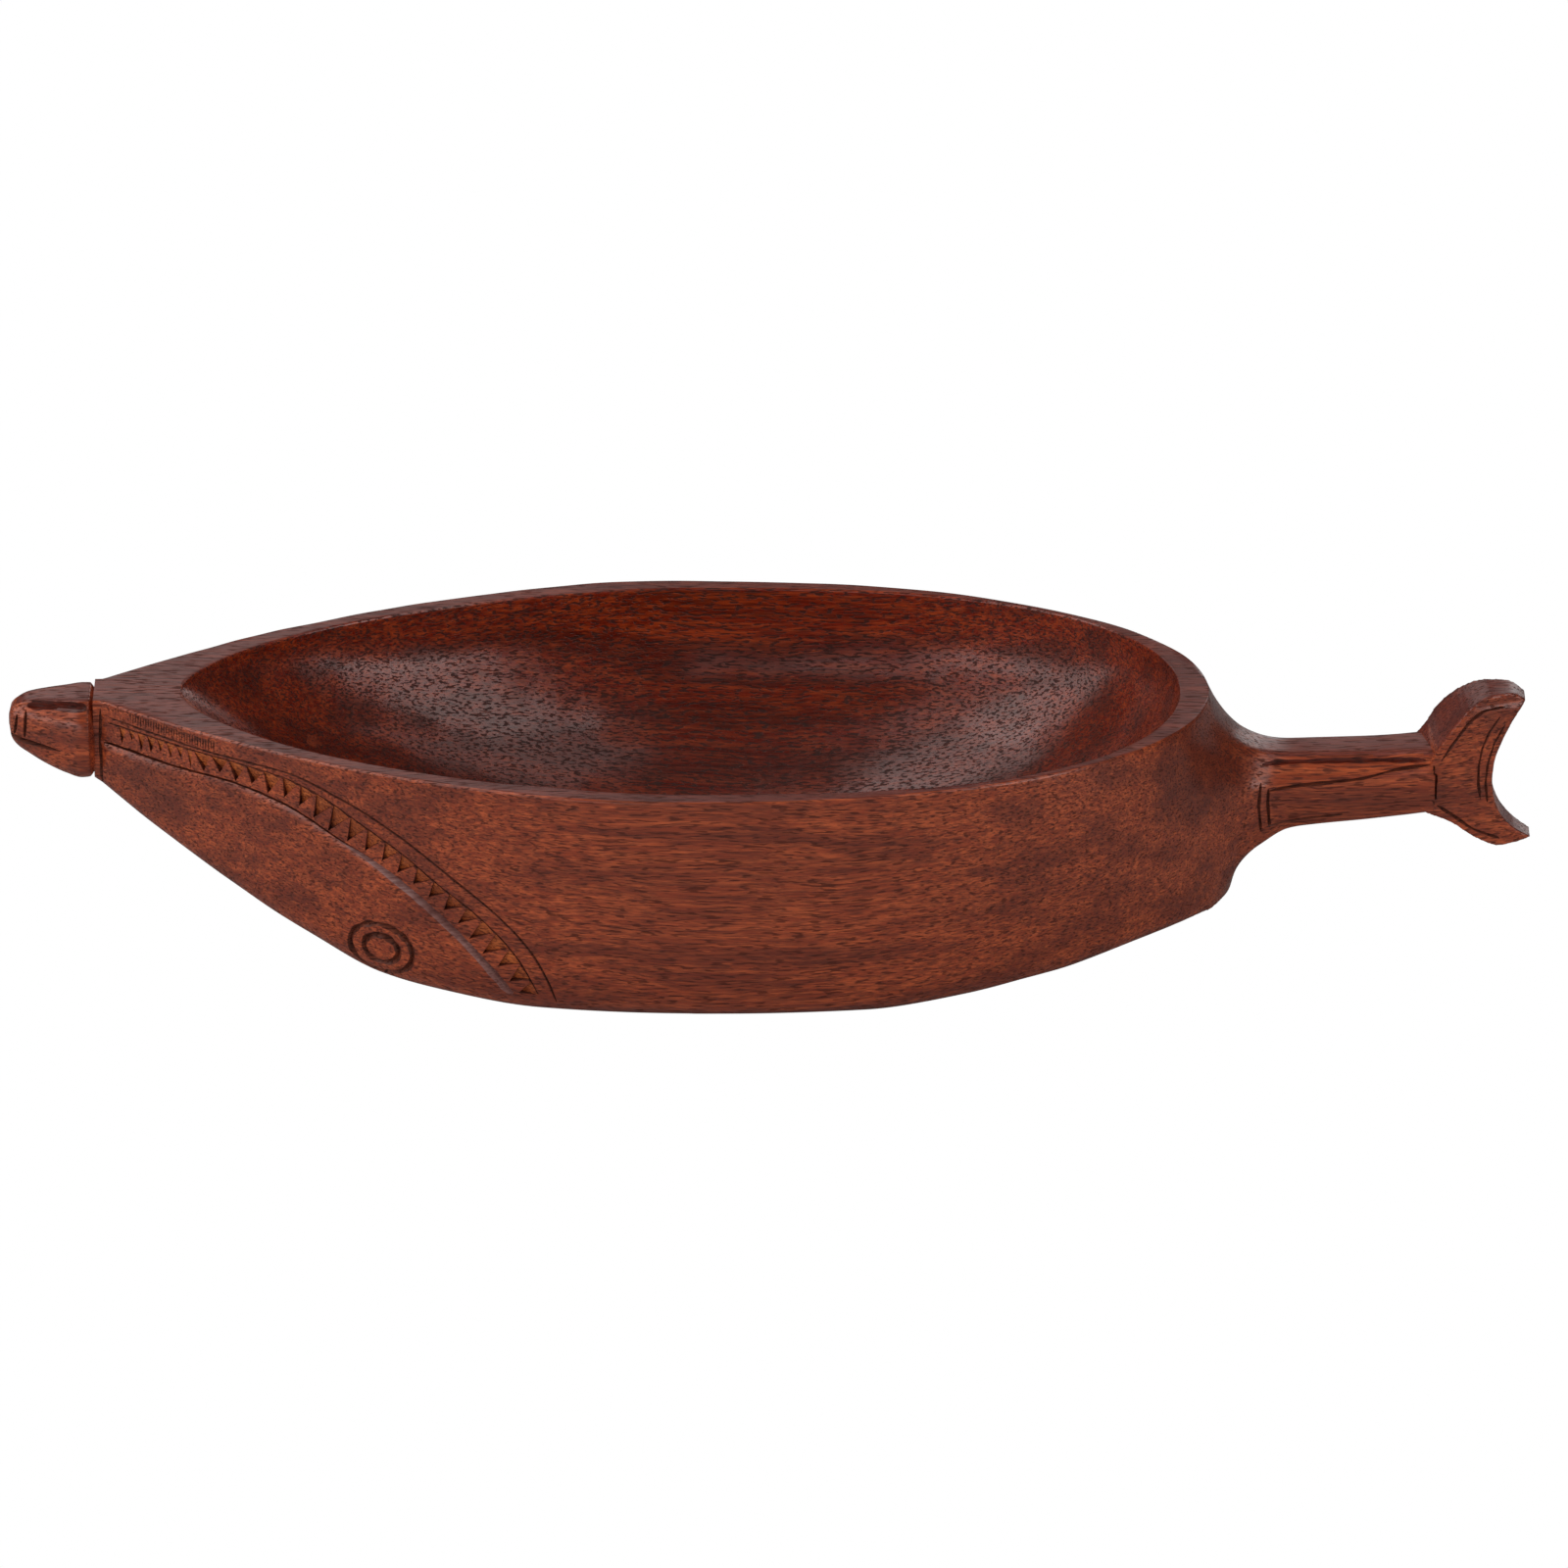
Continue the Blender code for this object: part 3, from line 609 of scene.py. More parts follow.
# %% A short way to write node trees
class Tree:
    """A node tree, with a short way to add to it."""

    def __init__(self, tree):
        self.tree = tree

    def add(self, kind, values=None, **settings):
        """New node: values are sockets to wire or plain values, settings are the node's own properties."""
        node = self.tree.nodes.new(kind)
        for key, value in settings.items():
            setattr(node, key, value)
        for key, value in (values or {}).items():
            socket = node.inputs[key]
            if isinstance(value, bpy.types.NodeSocket):
                self.tree.links.new(value, socket)
            else:
                socket.default_value = value
        return node

    def math(self, operation, *values):
        """Output of one Math node."""
        return self.add("ShaderNodeMath", dict(enumerate(values)), operation=operation).outputs[0]

    def attribute(self, name, kind):
        """Output of a named attribute of the geometry."""
        return self.add("GeometryNodeInputNamedAttribute", {"Name": name}, data_type=kind).outputs[0]


def named_tree(name, kind, inputs, outputs):
    """Node group with named sockets. Inputs are (name, type, default)."""
    tree = bpy.data.node_groups.new(name, kind)
    for label, socket_type, default in inputs:
        socket = tree.interface.new_socket(label, in_out="INPUT", socket_type="NodeSocket" + socket_type)
        if default is not None:
            socket.default_value = default
    for label, socket_type in outputs:
        tree.interface.new_socket(label, in_out="OUTPUT", socket_type="NodeSocket" + socket_type)
    return Tree(tree), tree.nodes.new("NodeGroupInput").outputs, tree.nodes.new("NodeGroupOutput").inputs


def run_tree(obj, tree, values):
    """Puts a node tree on an object, sets its inputs by identifier and bakes the result."""
    modifier = obj.modifiers.new(tree.name, "NODES")
    modifier.node_group = tree
    identifiers = {item.name: item.identifier for item in tree.interface.items_tree
                   if item.item_type == "SOCKET" and item.in_out == "INPUT"}
    for name, value in values.items():
        modifier[identifiers[name]] = value
    return settle(obj)


print("tree helper ready:", [name for name in vars(Tree) if name[0] != "_"])

# %% The parting tool: a V groove along a line
TOOL_TIP_HALF = 0.00003
tool, given, result = named_tree("parting tool", "GeometryNodeTree", [
    ("Guide", "Geometry", None), ("Upper", "Float", 0.0005), ("Lower", "Float", 0.0005),
    ("Depth", "Float", 0.0005), ("Clear", "Float", 0.0004), ("Step", "Float", 0.0006),
    ("Material", "Material", None)], [("Cutter", "Geometry")])
facing, swell = tool.attribute("facing", "FLOAT_VECTOR"), tool.attribute("swell", "FLOAT")
line = tool.add("GeometryNodeMeshToCurve", {"Mesh": given["Guide"]})
even = tool.add("GeometryNodeResampleCurve", {
    "Curve": line.outputs[0], "Length": given["Step"]}, mode="LENGTH")
turned = tool.add("GeometryNodeSetCurveNormal", {"Curve": even.outputs[0], "Normal": facing}, mode="FREE")
spread = tool.math("DIVIDE", tool.math("ADD", given["Depth"], given["Clear"]), given["Depth"])
under = tool.math("MULTIPLY", given["Depth"], -1.0)
above = tool.math("MULTIPLY", given["Upper"], tool.math("MULTIPLY", spread, -1.0))
below = tool.math("MULTIPLY", given["Lower"], spread)
corners = [tool.add("ShaderNodeCombineXYZ", {"X": x, "Y": y}).outputs[0] for x, y in (
    (given["Clear"], above), (under, -TOOL_TIP_HALF), (under, TOOL_TIP_HALF), (given["Clear"], below))]
profile = tool.add("GeometryNodeCurvePrimitiveQuadrilateral", mode="POINTS")
for i, corner in enumerate(corners):
    tool.tree.links.new(corner, profile.inputs["Point " + str(i + 1)])
swept = tool.add("GeometryNodeCurveToMesh", {"Curve": turned.outputs[0], "Profile Curve": profile.outputs[0],
                                             "Scale": swell, "Fill Caps": True})
real = tool.add("GeometryNodeRealizeInstances", {"Geometry": swept.outputs[0]})
finish = tool.add("GeometryNodeSetMaterial", {"Geometry": real.outputs[0], "Material": given["Material"]})
tool.tree.links.new(finish.outputs[0], result["Cutter"])
parting_tool = tool.tree
print("parting tool:", len(parting_tool.nodes), "nodes")

# %% The knife: a row of three-cornered chips
row, given, result = named_tree("chip row", "GeometryNodeTree", [
    ("Guide", "Geometry", None), ("Chip", "Object", None), ("Count", "Int", 20), ("Width", "Float", 0.005),
    ("Depth", "Float", 0.0012), ("Uneven", "Float", 0.1), ("Seed", "Int", 3),
    ("Floor Material", "Material", None), ("Wall Material", "Material", None)], [("Cutter", "Geometry")])
line = row.add("GeometryNodeMeshToCurve", {"Mesh": given["Guide"]})
even = row.add("GeometryNodeResampleCurve", {"Curve": line.outputs[0], "Count": given["Count"]}, mode="COUNT")
facing, across = row.attribute("facing", "FLOAT_VECTOR"), row.attribute("across", "FLOAT_VECTOR")
reach = row.add("ShaderNodeVectorMath", {0: across}, operation="LENGTH").outputs["Value"]
turn = row.add("FunctionNodeAxesToRotation", {"Primary Axis": facing, "Secondary Axis": across},
               primary_axis="Z", secondary_axis="Y")
least = row.math("SUBTRACT", 1.0, given["Uneven"])
most = row.math("ADD", 1.0, given["Uneven"])
uneven = [row.add("FunctionNodeRandomValue", {2: least, 3: most, "Seed": row.math("ADD", given["Seed"], i)},
                  data_type="FLOAT").outputs[1] for i in range(3)]
size = row.add("ShaderNodeCombineXYZ", {"X": row.math("MULTIPLY", given["Width"], uneven[0]),
                                        "Y": row.math("MULTIPLY", reach, uneven[1]),
                                        "Z": row.math("MULTIPLY", given["Depth"], uneven[2])})
chip_shape = row.add("GeometryNodeObjectInfo", {"Object": given["Chip"]})
placed = row.add("GeometryNodeInstanceOnPoints", {
    "Points": even.outputs[0], "Instance": chip_shape.outputs["Geometry"], "Rotation": turn.outputs[0],
    "Scale": size.outputs[0]})
real = row.add("GeometryNodeRealizeInstances", {"Geometry": placed.outputs[0]})
floors = row.add("GeometryNodeSetMaterial", {
    "Geometry": real.outputs[0], "Material": given["Floor Material"]})
finish = row.add("GeometryNodeSetMaterial", {
    "Geometry": floors.outputs[0], "Selection": row.attribute("wall", "BOOLEAN"),
    "Material": given["Wall Material"]})
row.tree.links.new(finish.outputs[0], result["Cutter"])
chip_row = row.tree
print("chip row:", len(chip_row.nodes), "nodes")

# %% [markdown]
# ## Wood
#
# The timber is a heavy red-brown tropical hardwood. Its grain runs the length of the bowl. Three things make
# it read as wood: long soft bands of darker heartwood, fine streaks along the fibres, and open pores that
# show as short dark dashes on the sides and as dots where the gouge crossed them. One shared group holds
# them all, and each finish of the bowl uses it with its own colours. A pore is a small pit, so it is both
# dark and dull: that is why the sheen inside the bowl looks peppered.

# %% The grain group's inputs and outputs
grain, given, result = named_tree("billet grain", "ShaderNodeTree", [
    ("Deep", "Color", (0.05, 0.01, 0.005, 1)), ("Body", "Color", (0.16, 0.04, 0.02, 1)),
    ("Pale", "Color", (0.24, 0.07, 0.03, 1)), ("Pore", "Color", (0.02, 0.006, 0.004, 1)),
    ("Band Contrast", "Float", 0.6), ("Streak Contrast", "Float", 0.8), ("Pore Strength", "Float", 0.7),
    ("Pore Cover", "Float", 0.0), ("Pore Length", "Float", 0.0045), ("Soak", "Float", 0.0),
    ("Stain", "Float", 0.0), ("Chatter", "Float", 0.0), ("Roughness", "Float", 0.38),
    ("Pore Dullness", "Float", 0.35), ("Polish", "Float", 0.6)],
    [("Colour", "Color"), ("Roughness", "Float"), ("Height", "Float"), ("Polish", "Float")])
place = grain.add("ShaderNodeTexCoord").outputs["Object"]
print("grain inputs:", [socket.name for socket in given if socket.name])


# %% Noise, ramps and blots
BLOT_CORE = 0.4


def noise_over(tree, vector, scale, detail, roughness):
    """Noise over a vector, with a scale for each axis."""
    mapped = tree.add("ShaderNodeMapping", {"Vector": vector, "Scale": scale}).outputs[0]
    return tree.add("ShaderNodeTexNoise", {
        "Vector": mapped, "Scale": 1.0, "Detail": detail, "Roughness": roughness}).outputs[0]


def stretched_noise(tree, vector, along, across, detail, roughness=0.55):
    """Noise drawn out along the fibres; lengths in millimetres."""
    return noise_over(tree, vector, (1000 / along, 1000 / across, 1000 / across), detail, roughness)


def ramp(tree, value, low, high, to_low=0.0, to_high=1.0):
    """Soft step from one value to another."""
    return tree.add("ShaderNodeMapRange", {
        "Value": value, "From Min": low, "From Max": high, "To Min": to_low, "To Max": to_high},
        interpolation_type="SMOOTHSTEP").outputs[0]


def mix(tree, factor, a, b):
    """Colour between a and b."""
    node = tree.add("ShaderNodeMix", data_type="RGBA")
    for key, value in (("Factor_Float", factor), ("A_Color", a), ("B_Color", b)):
        socket = next(s for s in node.inputs if s.identifier == key)
        if isinstance(value, bpy.types.NodeSocket):
            tree.tree.links.new(value, socket)
        else:
            socket.default_value = value
    return next(s for s in node.outputs if s.identifier == "Result_Color")


def blot(tree, vector, centre, radius, edge):
    """Soft ragged mask around a place seen from the side, the same on both sides of the bowl."""
    flat = tree.add("ShaderNodeVectorMath", {0: vector, 1: (1, 0, 1)}, operation="MULTIPLY").outputs[0]
    away = tree.add("ShaderNodeVectorMath", {0: flat, 1: centre}, operation="DISTANCE").outputs["Value"]
    away = tree.math("ADD", away, tree.math("MULTIPLY", tree.math("SUBTRACT", edge, 0.5), radius))
    return ramp(tree, away, radius * BLOT_CORE, radius, 1.0, 0.0)


print("a blot is solid to", BLOT_CORE, "of its radius")

# %% Fibres, bands and streaks
# length along the fibres and across them in millimetres, detail, roughness
BANDS, STREAKS = (260, 8, 5.0, 0.6), (80, 1.2, 6.0, 0.65)
FINE, FLECKS = (9, 0.5, 3.0, 0.6), (7.0, 1.2, 1.0, 0.4)
SWAY_SCALE, SWAY = 9.0, (0.0, 0.010, 0.010)
sway = grain.add("ShaderNodeTexNoise", {"Vector": place, "Scale": SWAY_SCALE, "Detail": 2.0}).outputs["Color"]
bent = grain.add("ShaderNodeVectorMath", {0: sway, 1: SWAY}, operation="MULTIPLY").outputs[0]
fibres = grain.add("ShaderNodeVectorMath", {0: place, 1: bent}, operation="ADD").outputs[0]
bands, streaks, fine, flecks = (
    stretched_noise(grain, fibres, *size) for size in (BANDS, STREAKS, FINE, FLECKS))
band_mask = grain.math("MULTIPLY", ramp(grain, bands, 0.44, 0.62), given["Band Contrast"])
streak_mask = grain.math("MULTIPLY", ramp(grain, streaks, 0.40, 0.62), given["Streak Contrast"])
fleck_mask = ramp(grain, flecks, 0.68, 0.74, 0.0, 0.6)
print("fibres sway by up to", 1000 * max(SWAY), "mm")

# %% Pores
PORE_ACROSS, PORE_LEVEL, PORE_EDGE = 0.0005, 0.555, 0.08
pore_scale = grain.add("ShaderNodeCombineXYZ", {
    "X": grain.math("DIVIDE", 1.0, given["Pore Length"]), "Y": 1 / PORE_ACROSS, "Z": 1 / PORE_ACROSS})
pores = noise_over(grain, fibres, pore_scale.outputs[0], 1.0, 0.4)
pore_low = grain.math("SUBTRACT", PORE_LEVEL, given["Pore Cover"])
pore_cut = grain.add("ShaderNodeMapRange", {
    "Value": pores, "From Min": pore_low, "From Max": grain.math("ADD", pore_low, PORE_EDGE)}).outputs[0]
pore_mask = grain.math("MULTIPLY", pore_cut, given["Pore Strength"])
print("a pore is", 1000 * PORE_ACROSS, "mm across the grain")

# %% Darker towards the bottom, and painted shade at the two necks
DARKENING_HEIGHTS, SHADE_EDGE = (0.018, 0.062), (20, 9, 4.0)
STERN_SHADE, BOW_SHADE = ((0.113, 0, 0.055), 0.019), ((-0.160, 0, 0.047), 0.013)
height_up = grain.add("ShaderNodeSeparateXYZ", {0: place}).outputs[2]
# The colour is made darker towards the bottom, by height.
low_darkening_mask = grain.math("MULTIPLY", ramp(grain, height_up, *DARKENING_HEIGHTS, 1.0, 0.0), given["Soak"])
# Painted shade: ragged dark blots in the coves under the rim, where the stern and the snout meet the vessel.
ragged = stretched_noise(grain, place, *SHADE_EDGE)
stern_shade_blot = blot(grain, place, *STERN_SHADE, ragged)
bow_shade_blot = grain.math("MULTIPLY", blot(grain, place, *BOW_SHADE, ragged), 0.7)
neck_shade_mask = grain.math("MULTIPLY", grain.math("MAXIMUM", stern_shade_blot, bow_shade_blot), given["Stain"])
print("painted_neck_shades at x =", STERN_SHADE[0][0], "and", BOW_SHADE[0][0], "m")

# %% The grain group's colour, roughness, height and polish
# Bands, streaks, flecks and pores are the wood's own colour; the blots at the two necks are painted shade.
colour = given["Body"]
for mask, shade in ((streak_mask, "Pale"), (band_mask, "Deep"), (fleck_mask, "Pale"), (low_darkening_mask, "Deep"),
                    (neck_shade_mask, "Deep"), (grain.math("MULTIPLY", neck_shade_mask, 0.6), "Pore"),
                    (ramp(grain, fine, 0.32, 0.62, 0.6, 0.0), "Pore"), (pore_mask, "Pore")):
    colour = mix(grain, mask, colour, given[shade])
uneven_satin = grain.math("MULTIPLY", grain.math("SUBTRACT", streaks, 0.5), 0.3)
satin = grain.math("ADD", given["Roughness"], uneven_satin)
satin = grain.math("ADD", satin, grain.math("MULTIPLY", pore_cut, given["Pore Dullness"]))
ripples = stretched_noise(grain, place, 2.0, 12, 1.0, 0.4)
relief = grain.math("SUBTRACT", grain.math("MULTIPLY", fine, 0.4), pore_cut)
relief = grain.math("ADD", relief, grain.math("MULTIPLY", ripples, given["Chatter"]))
unpitted = grain.math("SUBTRACT", 1.0, grain.math("MULTIPLY", pore_cut, 0.9))
shine = grain.math("MULTIPLY", given["Polish"], unpitted)
for name, socket in (("Colour", colour), ("Roughness", satin), ("Height", relief), ("Polish", shine)):
    grain.tree.links.new(socket, result[name])
billet_grain = grain.tree
print("billet grain:", len(billet_grain.nodes), "nodes")

# %% Finishes of the open surfaces
PORE_RELIEF, OIL_ROUGHNESS, OIL_TINT = 0.00012, 0.2, (1.0, 0.76, 0.70, 1)


def finish_of(name, deep, body, pale, pore, bump, **values):
    """Wood finish: the grain group feeds one Principled shader."""
    material = bpy.data.materials.new(name)
    material.use_nodes = True
    material.node_tree.nodes.clear()
    tree = Tree(material.node_tree)
    group = tree.add("ShaderNodeGroup", node_tree=billet_grain)
    for key, shade in (("Deep", deep), ("Body", body), ("Pale", pale), ("Pore", pore)):
        group.inputs[key].default_value = shade + (1,)
    for key, value in values.items():
        group.inputs[key.replace("_", " ")].default_value = value
    relief = tree.add("ShaderNodeBump", {
        "Height": group.outputs["Height"], "Strength": bump, "Distance": PORE_RELIEF})
    shader = tree.add("ShaderNodeBsdfPrincipled", {
        "Base Color": group.outputs["Colour"], "Roughness": group.outputs["Roughness"],
        "Normal": relief.outputs[0], "Coat Weight": group.outputs["Polish"], "Coat Roughness": OIL_ROUGHNESS,
        "Specular IOR Level": 0.6, "Specular Tint": OIL_TINT})
    tree.add("ShaderNodeOutputMaterial", {"Surface": shader.outputs[0]})
    return material


# The rubbed wood carries the painted shade at the two necks.
rubbed_wood = finish_of(
    "rubbed_wood", (0.17, 0.020, 0.008), (0.42, 0.062, 0.018), (0.76, 0.145, 0.040),
    (0.05, 0.009, 0.005), 0.5, Stain=0.42)
scraped_wood = finish_of(
    "scraped_wood", (0.08, 0.006, 0.002), (0.30, 0.020, 0.003), (0.60, 0.080, 0.011),
    (0.02, 0.003, 0.002), 0.7, Roughness=0.30, Pore_Cover=0.02, Pore_Length=0.0024, Pore_Strength=0.8,
    Soak=0.5, Chatter=0.9, Polish=0.7)
# A darker, greyer copy of the wood for faces that look up: painted sheen on the tops.
top_sheen_wood = finish_of(
    "painted_top_sheen_wood", (0.14, 0.021, 0.013), (0.29, 0.050, 0.030), (0.44, 0.088, 0.046),
    (0.05, 0.010, 0.007), 0.5, Roughness=0.34)
print("on the open surfaces:", rubbed_wood.name, scraped_wood.name, top_sheen_wood.name)

# %% Finishes of the cuts
# A lighter, pinker wood for the lower half of the border's bevel: a painted highlight.
bevel_highlight_wood = finish_of(
    "painted_highlight_wood", (0.22, 0.075, 0.060), (0.38, 0.17, 0.15), (0.50, 0.25, 0.22),
    (0.12, 0.03, 0.025), 0.4, Roughness=0.3, Pore_Strength=0.4)
cut_wood = finish_of(
    "fresh_cut_wood", (0.30, 0.055, 0.014), (0.62, 0.130, 0.028), (0.85, 0.22, 0.05),
    (0.12, 0.022, 0.01), 0.5, Roughness=0.5, Polish=0.1)
groove_wood = finish_of(
    "groove_wood", (0.07, 0.012, 0.005), (0.14, 0.025, 0.009), (0.26, 0.050, 0.016),
    (0.02, 0.004, 0.003), 0.5, Roughness=0.6, Polish=0.1)
# A dark red wood for the stem's ridge line and the snout's brow: painted shade under their top edges.
shade_line_wood = finish_of(
    "painted_shade_line_wood", (0.05, 0.006, 0.003), (0.11, 0.012, 0.004), (0.24, 0.026, 0.007),
    (0.02, 0.003, 0.002), 0.5, Roughness=0.34, Polish=0.5)
print("in the cuts:", bevel_highlight_wood.name, cut_wood.name, groove_wood.name, shade_line_wood.name)

# %% [markdown]
# ## Which wood goes where
#
# Before any cut, each face gets a finish by its place: scraped in the cavity, a darker, greyer copy with
# painted sheen on the flat rim and on the other faces that look straight up, rubbed everywhere else.

# %% Finishes by place
# how far a face looks up, from 0 to 1, before it gets the greyer copy with painted sheen
FLAT_UP = ((vessel, 0.93), (stem, 0.85), (snout, 0.85), (fin, 0.5))
SURFACE_FINISHES = (rubbed_wood, top_sheen_wood, scraped_wood)
for piece, flat_up in FLAT_UP:
    mesh = piece.data
    for finish in SURFACE_FINISHES:
        mesh.materials.append(finish)
    index = (vectors_of(mesh.polygons, "normal")[:, 2] > flat_up).astype(np.int32)
    if piece == vessel:
        index[in_cavity(vectors_of(mesh.polygons, "center") / MM) > 0] = SURFACE_FINISHES.index(scraped_wood)
    mesh.polygons.foreach_set("material_index", index)
    print(piece.name, "faces of rubbed, painted_top_sheen and scraped wood:", np.bincount(index, minlength=3))

# %% [markdown]
# ## Carving
#
# The head pattern is the same on both sides: a sunk border that curves from the snout to the foot, a row of
# chips above it, two thin lines above those, and a round eye below. The stem and the fin carry plain border
# lines. To find the surface under a stroke, a ray is sent in from the side, so every stroke follows the real
# skin with its waver.

# %% The head's lines
# x, depth
BORDER = np.array([
    (-174.5, 12.0), (-155.0, 12.8), (-143.0, 12.5), (-128.0, 14.8), (-111.0, 22.7), (-99.0, 29.2),
    (-86.4, 39.3), (-76.0, 50.1), (-67.0, 61.0)])
CHIP_LINE = np.array([
    (-173.5, 5.8), (-145.0, 6.0), (-128.0, 6.9), (-117.6, 9.8), (-106.0, 16.0), (-96.5, 21.8), (-86.9, 29.5),
    (-75.1, 38.9), (-66.1, 49.2), (-62.0, 57.0), (-60.4, 60.4)])
OUTER_LINE = np.array([
    (-173.0, 4.2), (-151.0, 4.9), (-127.5, 5.2), (-111.0, 9.8), (-96.7, 17.0), (-83.3, 26.9), (-71.2, 36.8),
    (-62.2, 47.3), (-57.6, 56.6), (-55.6, 62.6)])
TRACE_STEPS = 600


def trace(points, steps, start=0.0, end=1.0):
    """Evenly spaced x and depth along a smooth curve through points, or along straight runs."""
    if np.all(np.diff(points[:, 0]) > 0):
        x = np.linspace(points[0, 0], points[-1, 0], TRACE_STEPS)
        depth = smooth_curve(points, x)
    else:
        x, depth = points[:, 0], points[:, 1]
    run = np.concatenate([[0], np.cumsum(np.hypot(np.diff(x), np.diff(depth)))])
    at = np.linspace(start, end, steps + 1) * run[-1]
    return np.interp(at, run, x), np.interp(at, run, depth)


print("the border meets the foot at x =", round(float(trace(BORDER, 10)[0][-1]), 1), "mm")

# %% Finding the skin under a stroke
RAY_START, SMOOTH_REACH = 0.2, 2


def skin_of(*objects):
    """Search tree over the objects' faces, for rays."""
    corners, faces = [], []
    for obj in objects:
        first = len(corners)
        corners.extend(v.co.copy() for v in obj.data.vertices)
        faces.extend([first + i for i in p.vertices] for p in obj.data.polygons)
    return BVHTree.FromPolygons(corners, faces)


def on_side(skin_tree, x, depth, side):
    """Points on a skin in metres and smoothed outward directions. side is -1 or 1 for near or far."""
    points, normals = [], []
    for px, pd in zip(x, depth):
        start = Vector((px * MM, side * RAY_START, (RIM_HEIGHT - pd) * MM))
        hit, normal, _, _ = skin_tree.ray_cast(start, Vector((0, -side, 0)))
        points.append(hit if hit else points[-1])
        normals.append(normal if hit else normals[-1])
    normals = np.array(normals)
    padded = np.pad(normals, ((SMOOTH_REACH, SMOOTH_REACH), (0, 0)), mode="edge")
    calm = sum(padded[i:i + len(normals)] for i in range(2 * SMOOTH_REACH + 1))
    return np.array(points), calm / np.linalg.norm(calm, axis=1, keepdims=True)


print("rays start", RAY_START, "m to the side")


# %% Guides
def guide(name, strokes, closed=False):
    """Mesh of edges from strokes, each a dict of points, facing and maybe across and swell."""
    points, edges, fields = [], [], {"facing": [], "across": [], "swell": []}
    for stroke in strokes:
        first, count = len(points), len(stroke["points"])
        points.extend(stroke["points"].tolist())
        edges.extend((first + i, first + i + 1) for i in range(count - 1))
        if closed:
            edges.append((first + count - 1, first))
        fields["facing"].append(stroke["facing"])
        fields["across"].append(stroke.get("across", stroke["facing"]))
        fields["swell"].append(stroke.get("swell", np.ones(count)))
    mesh = bpy.data.meshes.new(name)
    mesh.from_pydata(points, edges, [])
    for field, kind, key in (("facing", "FLOAT_VECTOR", "vector"), ("across", "FLOAT_VECTOR", "vector"),
                             ("swell", "FLOAT", "value")):
        layer = mesh.attributes.new(field, kind, "POINT")
        layer.data.foreach_set(key, np.concatenate(fields[field]).astype(np.float32).ravel())
    return link(name, mesh)


def taper(count, start, end):
    """Share of full size along a stroke that fades in and out over some steps."""
    i = np.arange(count)
    grow = np.minimum(1.0, (i + 0.5) / start) if start else np.ones(count)
    fade = np.minimum(1.0, (count - i - 0.5) / end) if end else np.ones(count)
    return np.maximum(np.sqrt(grow * fade), 0.05)


def line_strokes(skin_tree, points, steps, start=0.0, end=1.0, fade=(4, 4), unsteady=0.12):
    """The same line on both sides; the far one runs backwards so that its lower edge stays lower."""
    x, depth = trace(np.array(points), steps, start, end)
    strokes = []
    for side in (-1, 1):
        at, facing = on_side(skin_tree, x, depth, side)
        swell = taper(len(x), *fade) * (1 + unsteady * waver(at / MM, *STROKE_WAVES))
        strokes.append({"points": at[::-side], "facing": facing[::-side], "swell": swell[::-side]})
    return strokes


print("a stroke of 8 steps swells like this:", taper(8, 3, 3).round(2))


# %% Cutting
def cut_with(target, cutter, keep=False):
    """Cuts the cutter out of the target; new faces keep the cutter's material."""
    bm = bmesh.new()
    bm.from_mesh(cutter.data)
    bmesh.ops.remove_doubles(bm, verts=bm.verts[:], dist=1e-7)
    bmesh.ops.recalc_face_normals(bm, faces=bm.faces[:])
    if bm.calc_volume(signed=True) < 0:
        bmesh.ops.reverse_faces(bm, faces=bm.faces[:])
    bm.to_mesh(cutter.data)
    bm.free()
    boolean = target.modifiers.new(cutter.name, "BOOLEAN")
    boolean.operation = "DIFFERENCE"
    boolean.solver = "MANIFOLD"
    boolean.material_mode = "TRANSFER"
    boolean.object = cutter
    settle(target)
    if not keep:
        bpy.data.objects.remove(cutter)


def groove(name, targets, strokes, upper, lower, deep, material):
    """Runs the parting tool along strokes and cuts every target with it. Sizes in millimetres."""
    cutter = run_tree(guide(name, strokes), parting_tool, {
        "Upper": upper * MM, "Lower": lower * MM, "Depth": deep * MM, "Material": material})
    for target in targets:
        cut_with(target, cutter, keep=target != targets[-1])


head = skin_of(vessel)
print("the head's skin is ready for rays")

# %% The head's border and lines
border = line_strokes(head, BORDER, 170, fade=(3, 6))
groove("border_slope", [vessel], border, 0.3, 2.0, 0.8, rubbed_wood)
# The lower half of the border's bevel gets the wood with a painted highlight.
low_border = line_strokes(head, BORDER, 100, start=0.42, fade=(40, 4))
groove("border_bevel", [vessel], low_border, 0.2, 1.8, 1.5, bevel_highlight_wood)
groove("border_wall", [vessel], border, 0.9, 0.45, 1.6, groove_wood)
for name, points in (("chip_line", CHIP_LINE), ("outer_line", OUTER_LINE)):
    groove(name, [vessel], line_strokes(head, points, 160), 0.32, 0.32, 0.45, groove_wood)
print("lines cut, vessel has", len(vessel.data.polygons), "faces")

# %% One chip
CHIP_CLEAR = 0.5


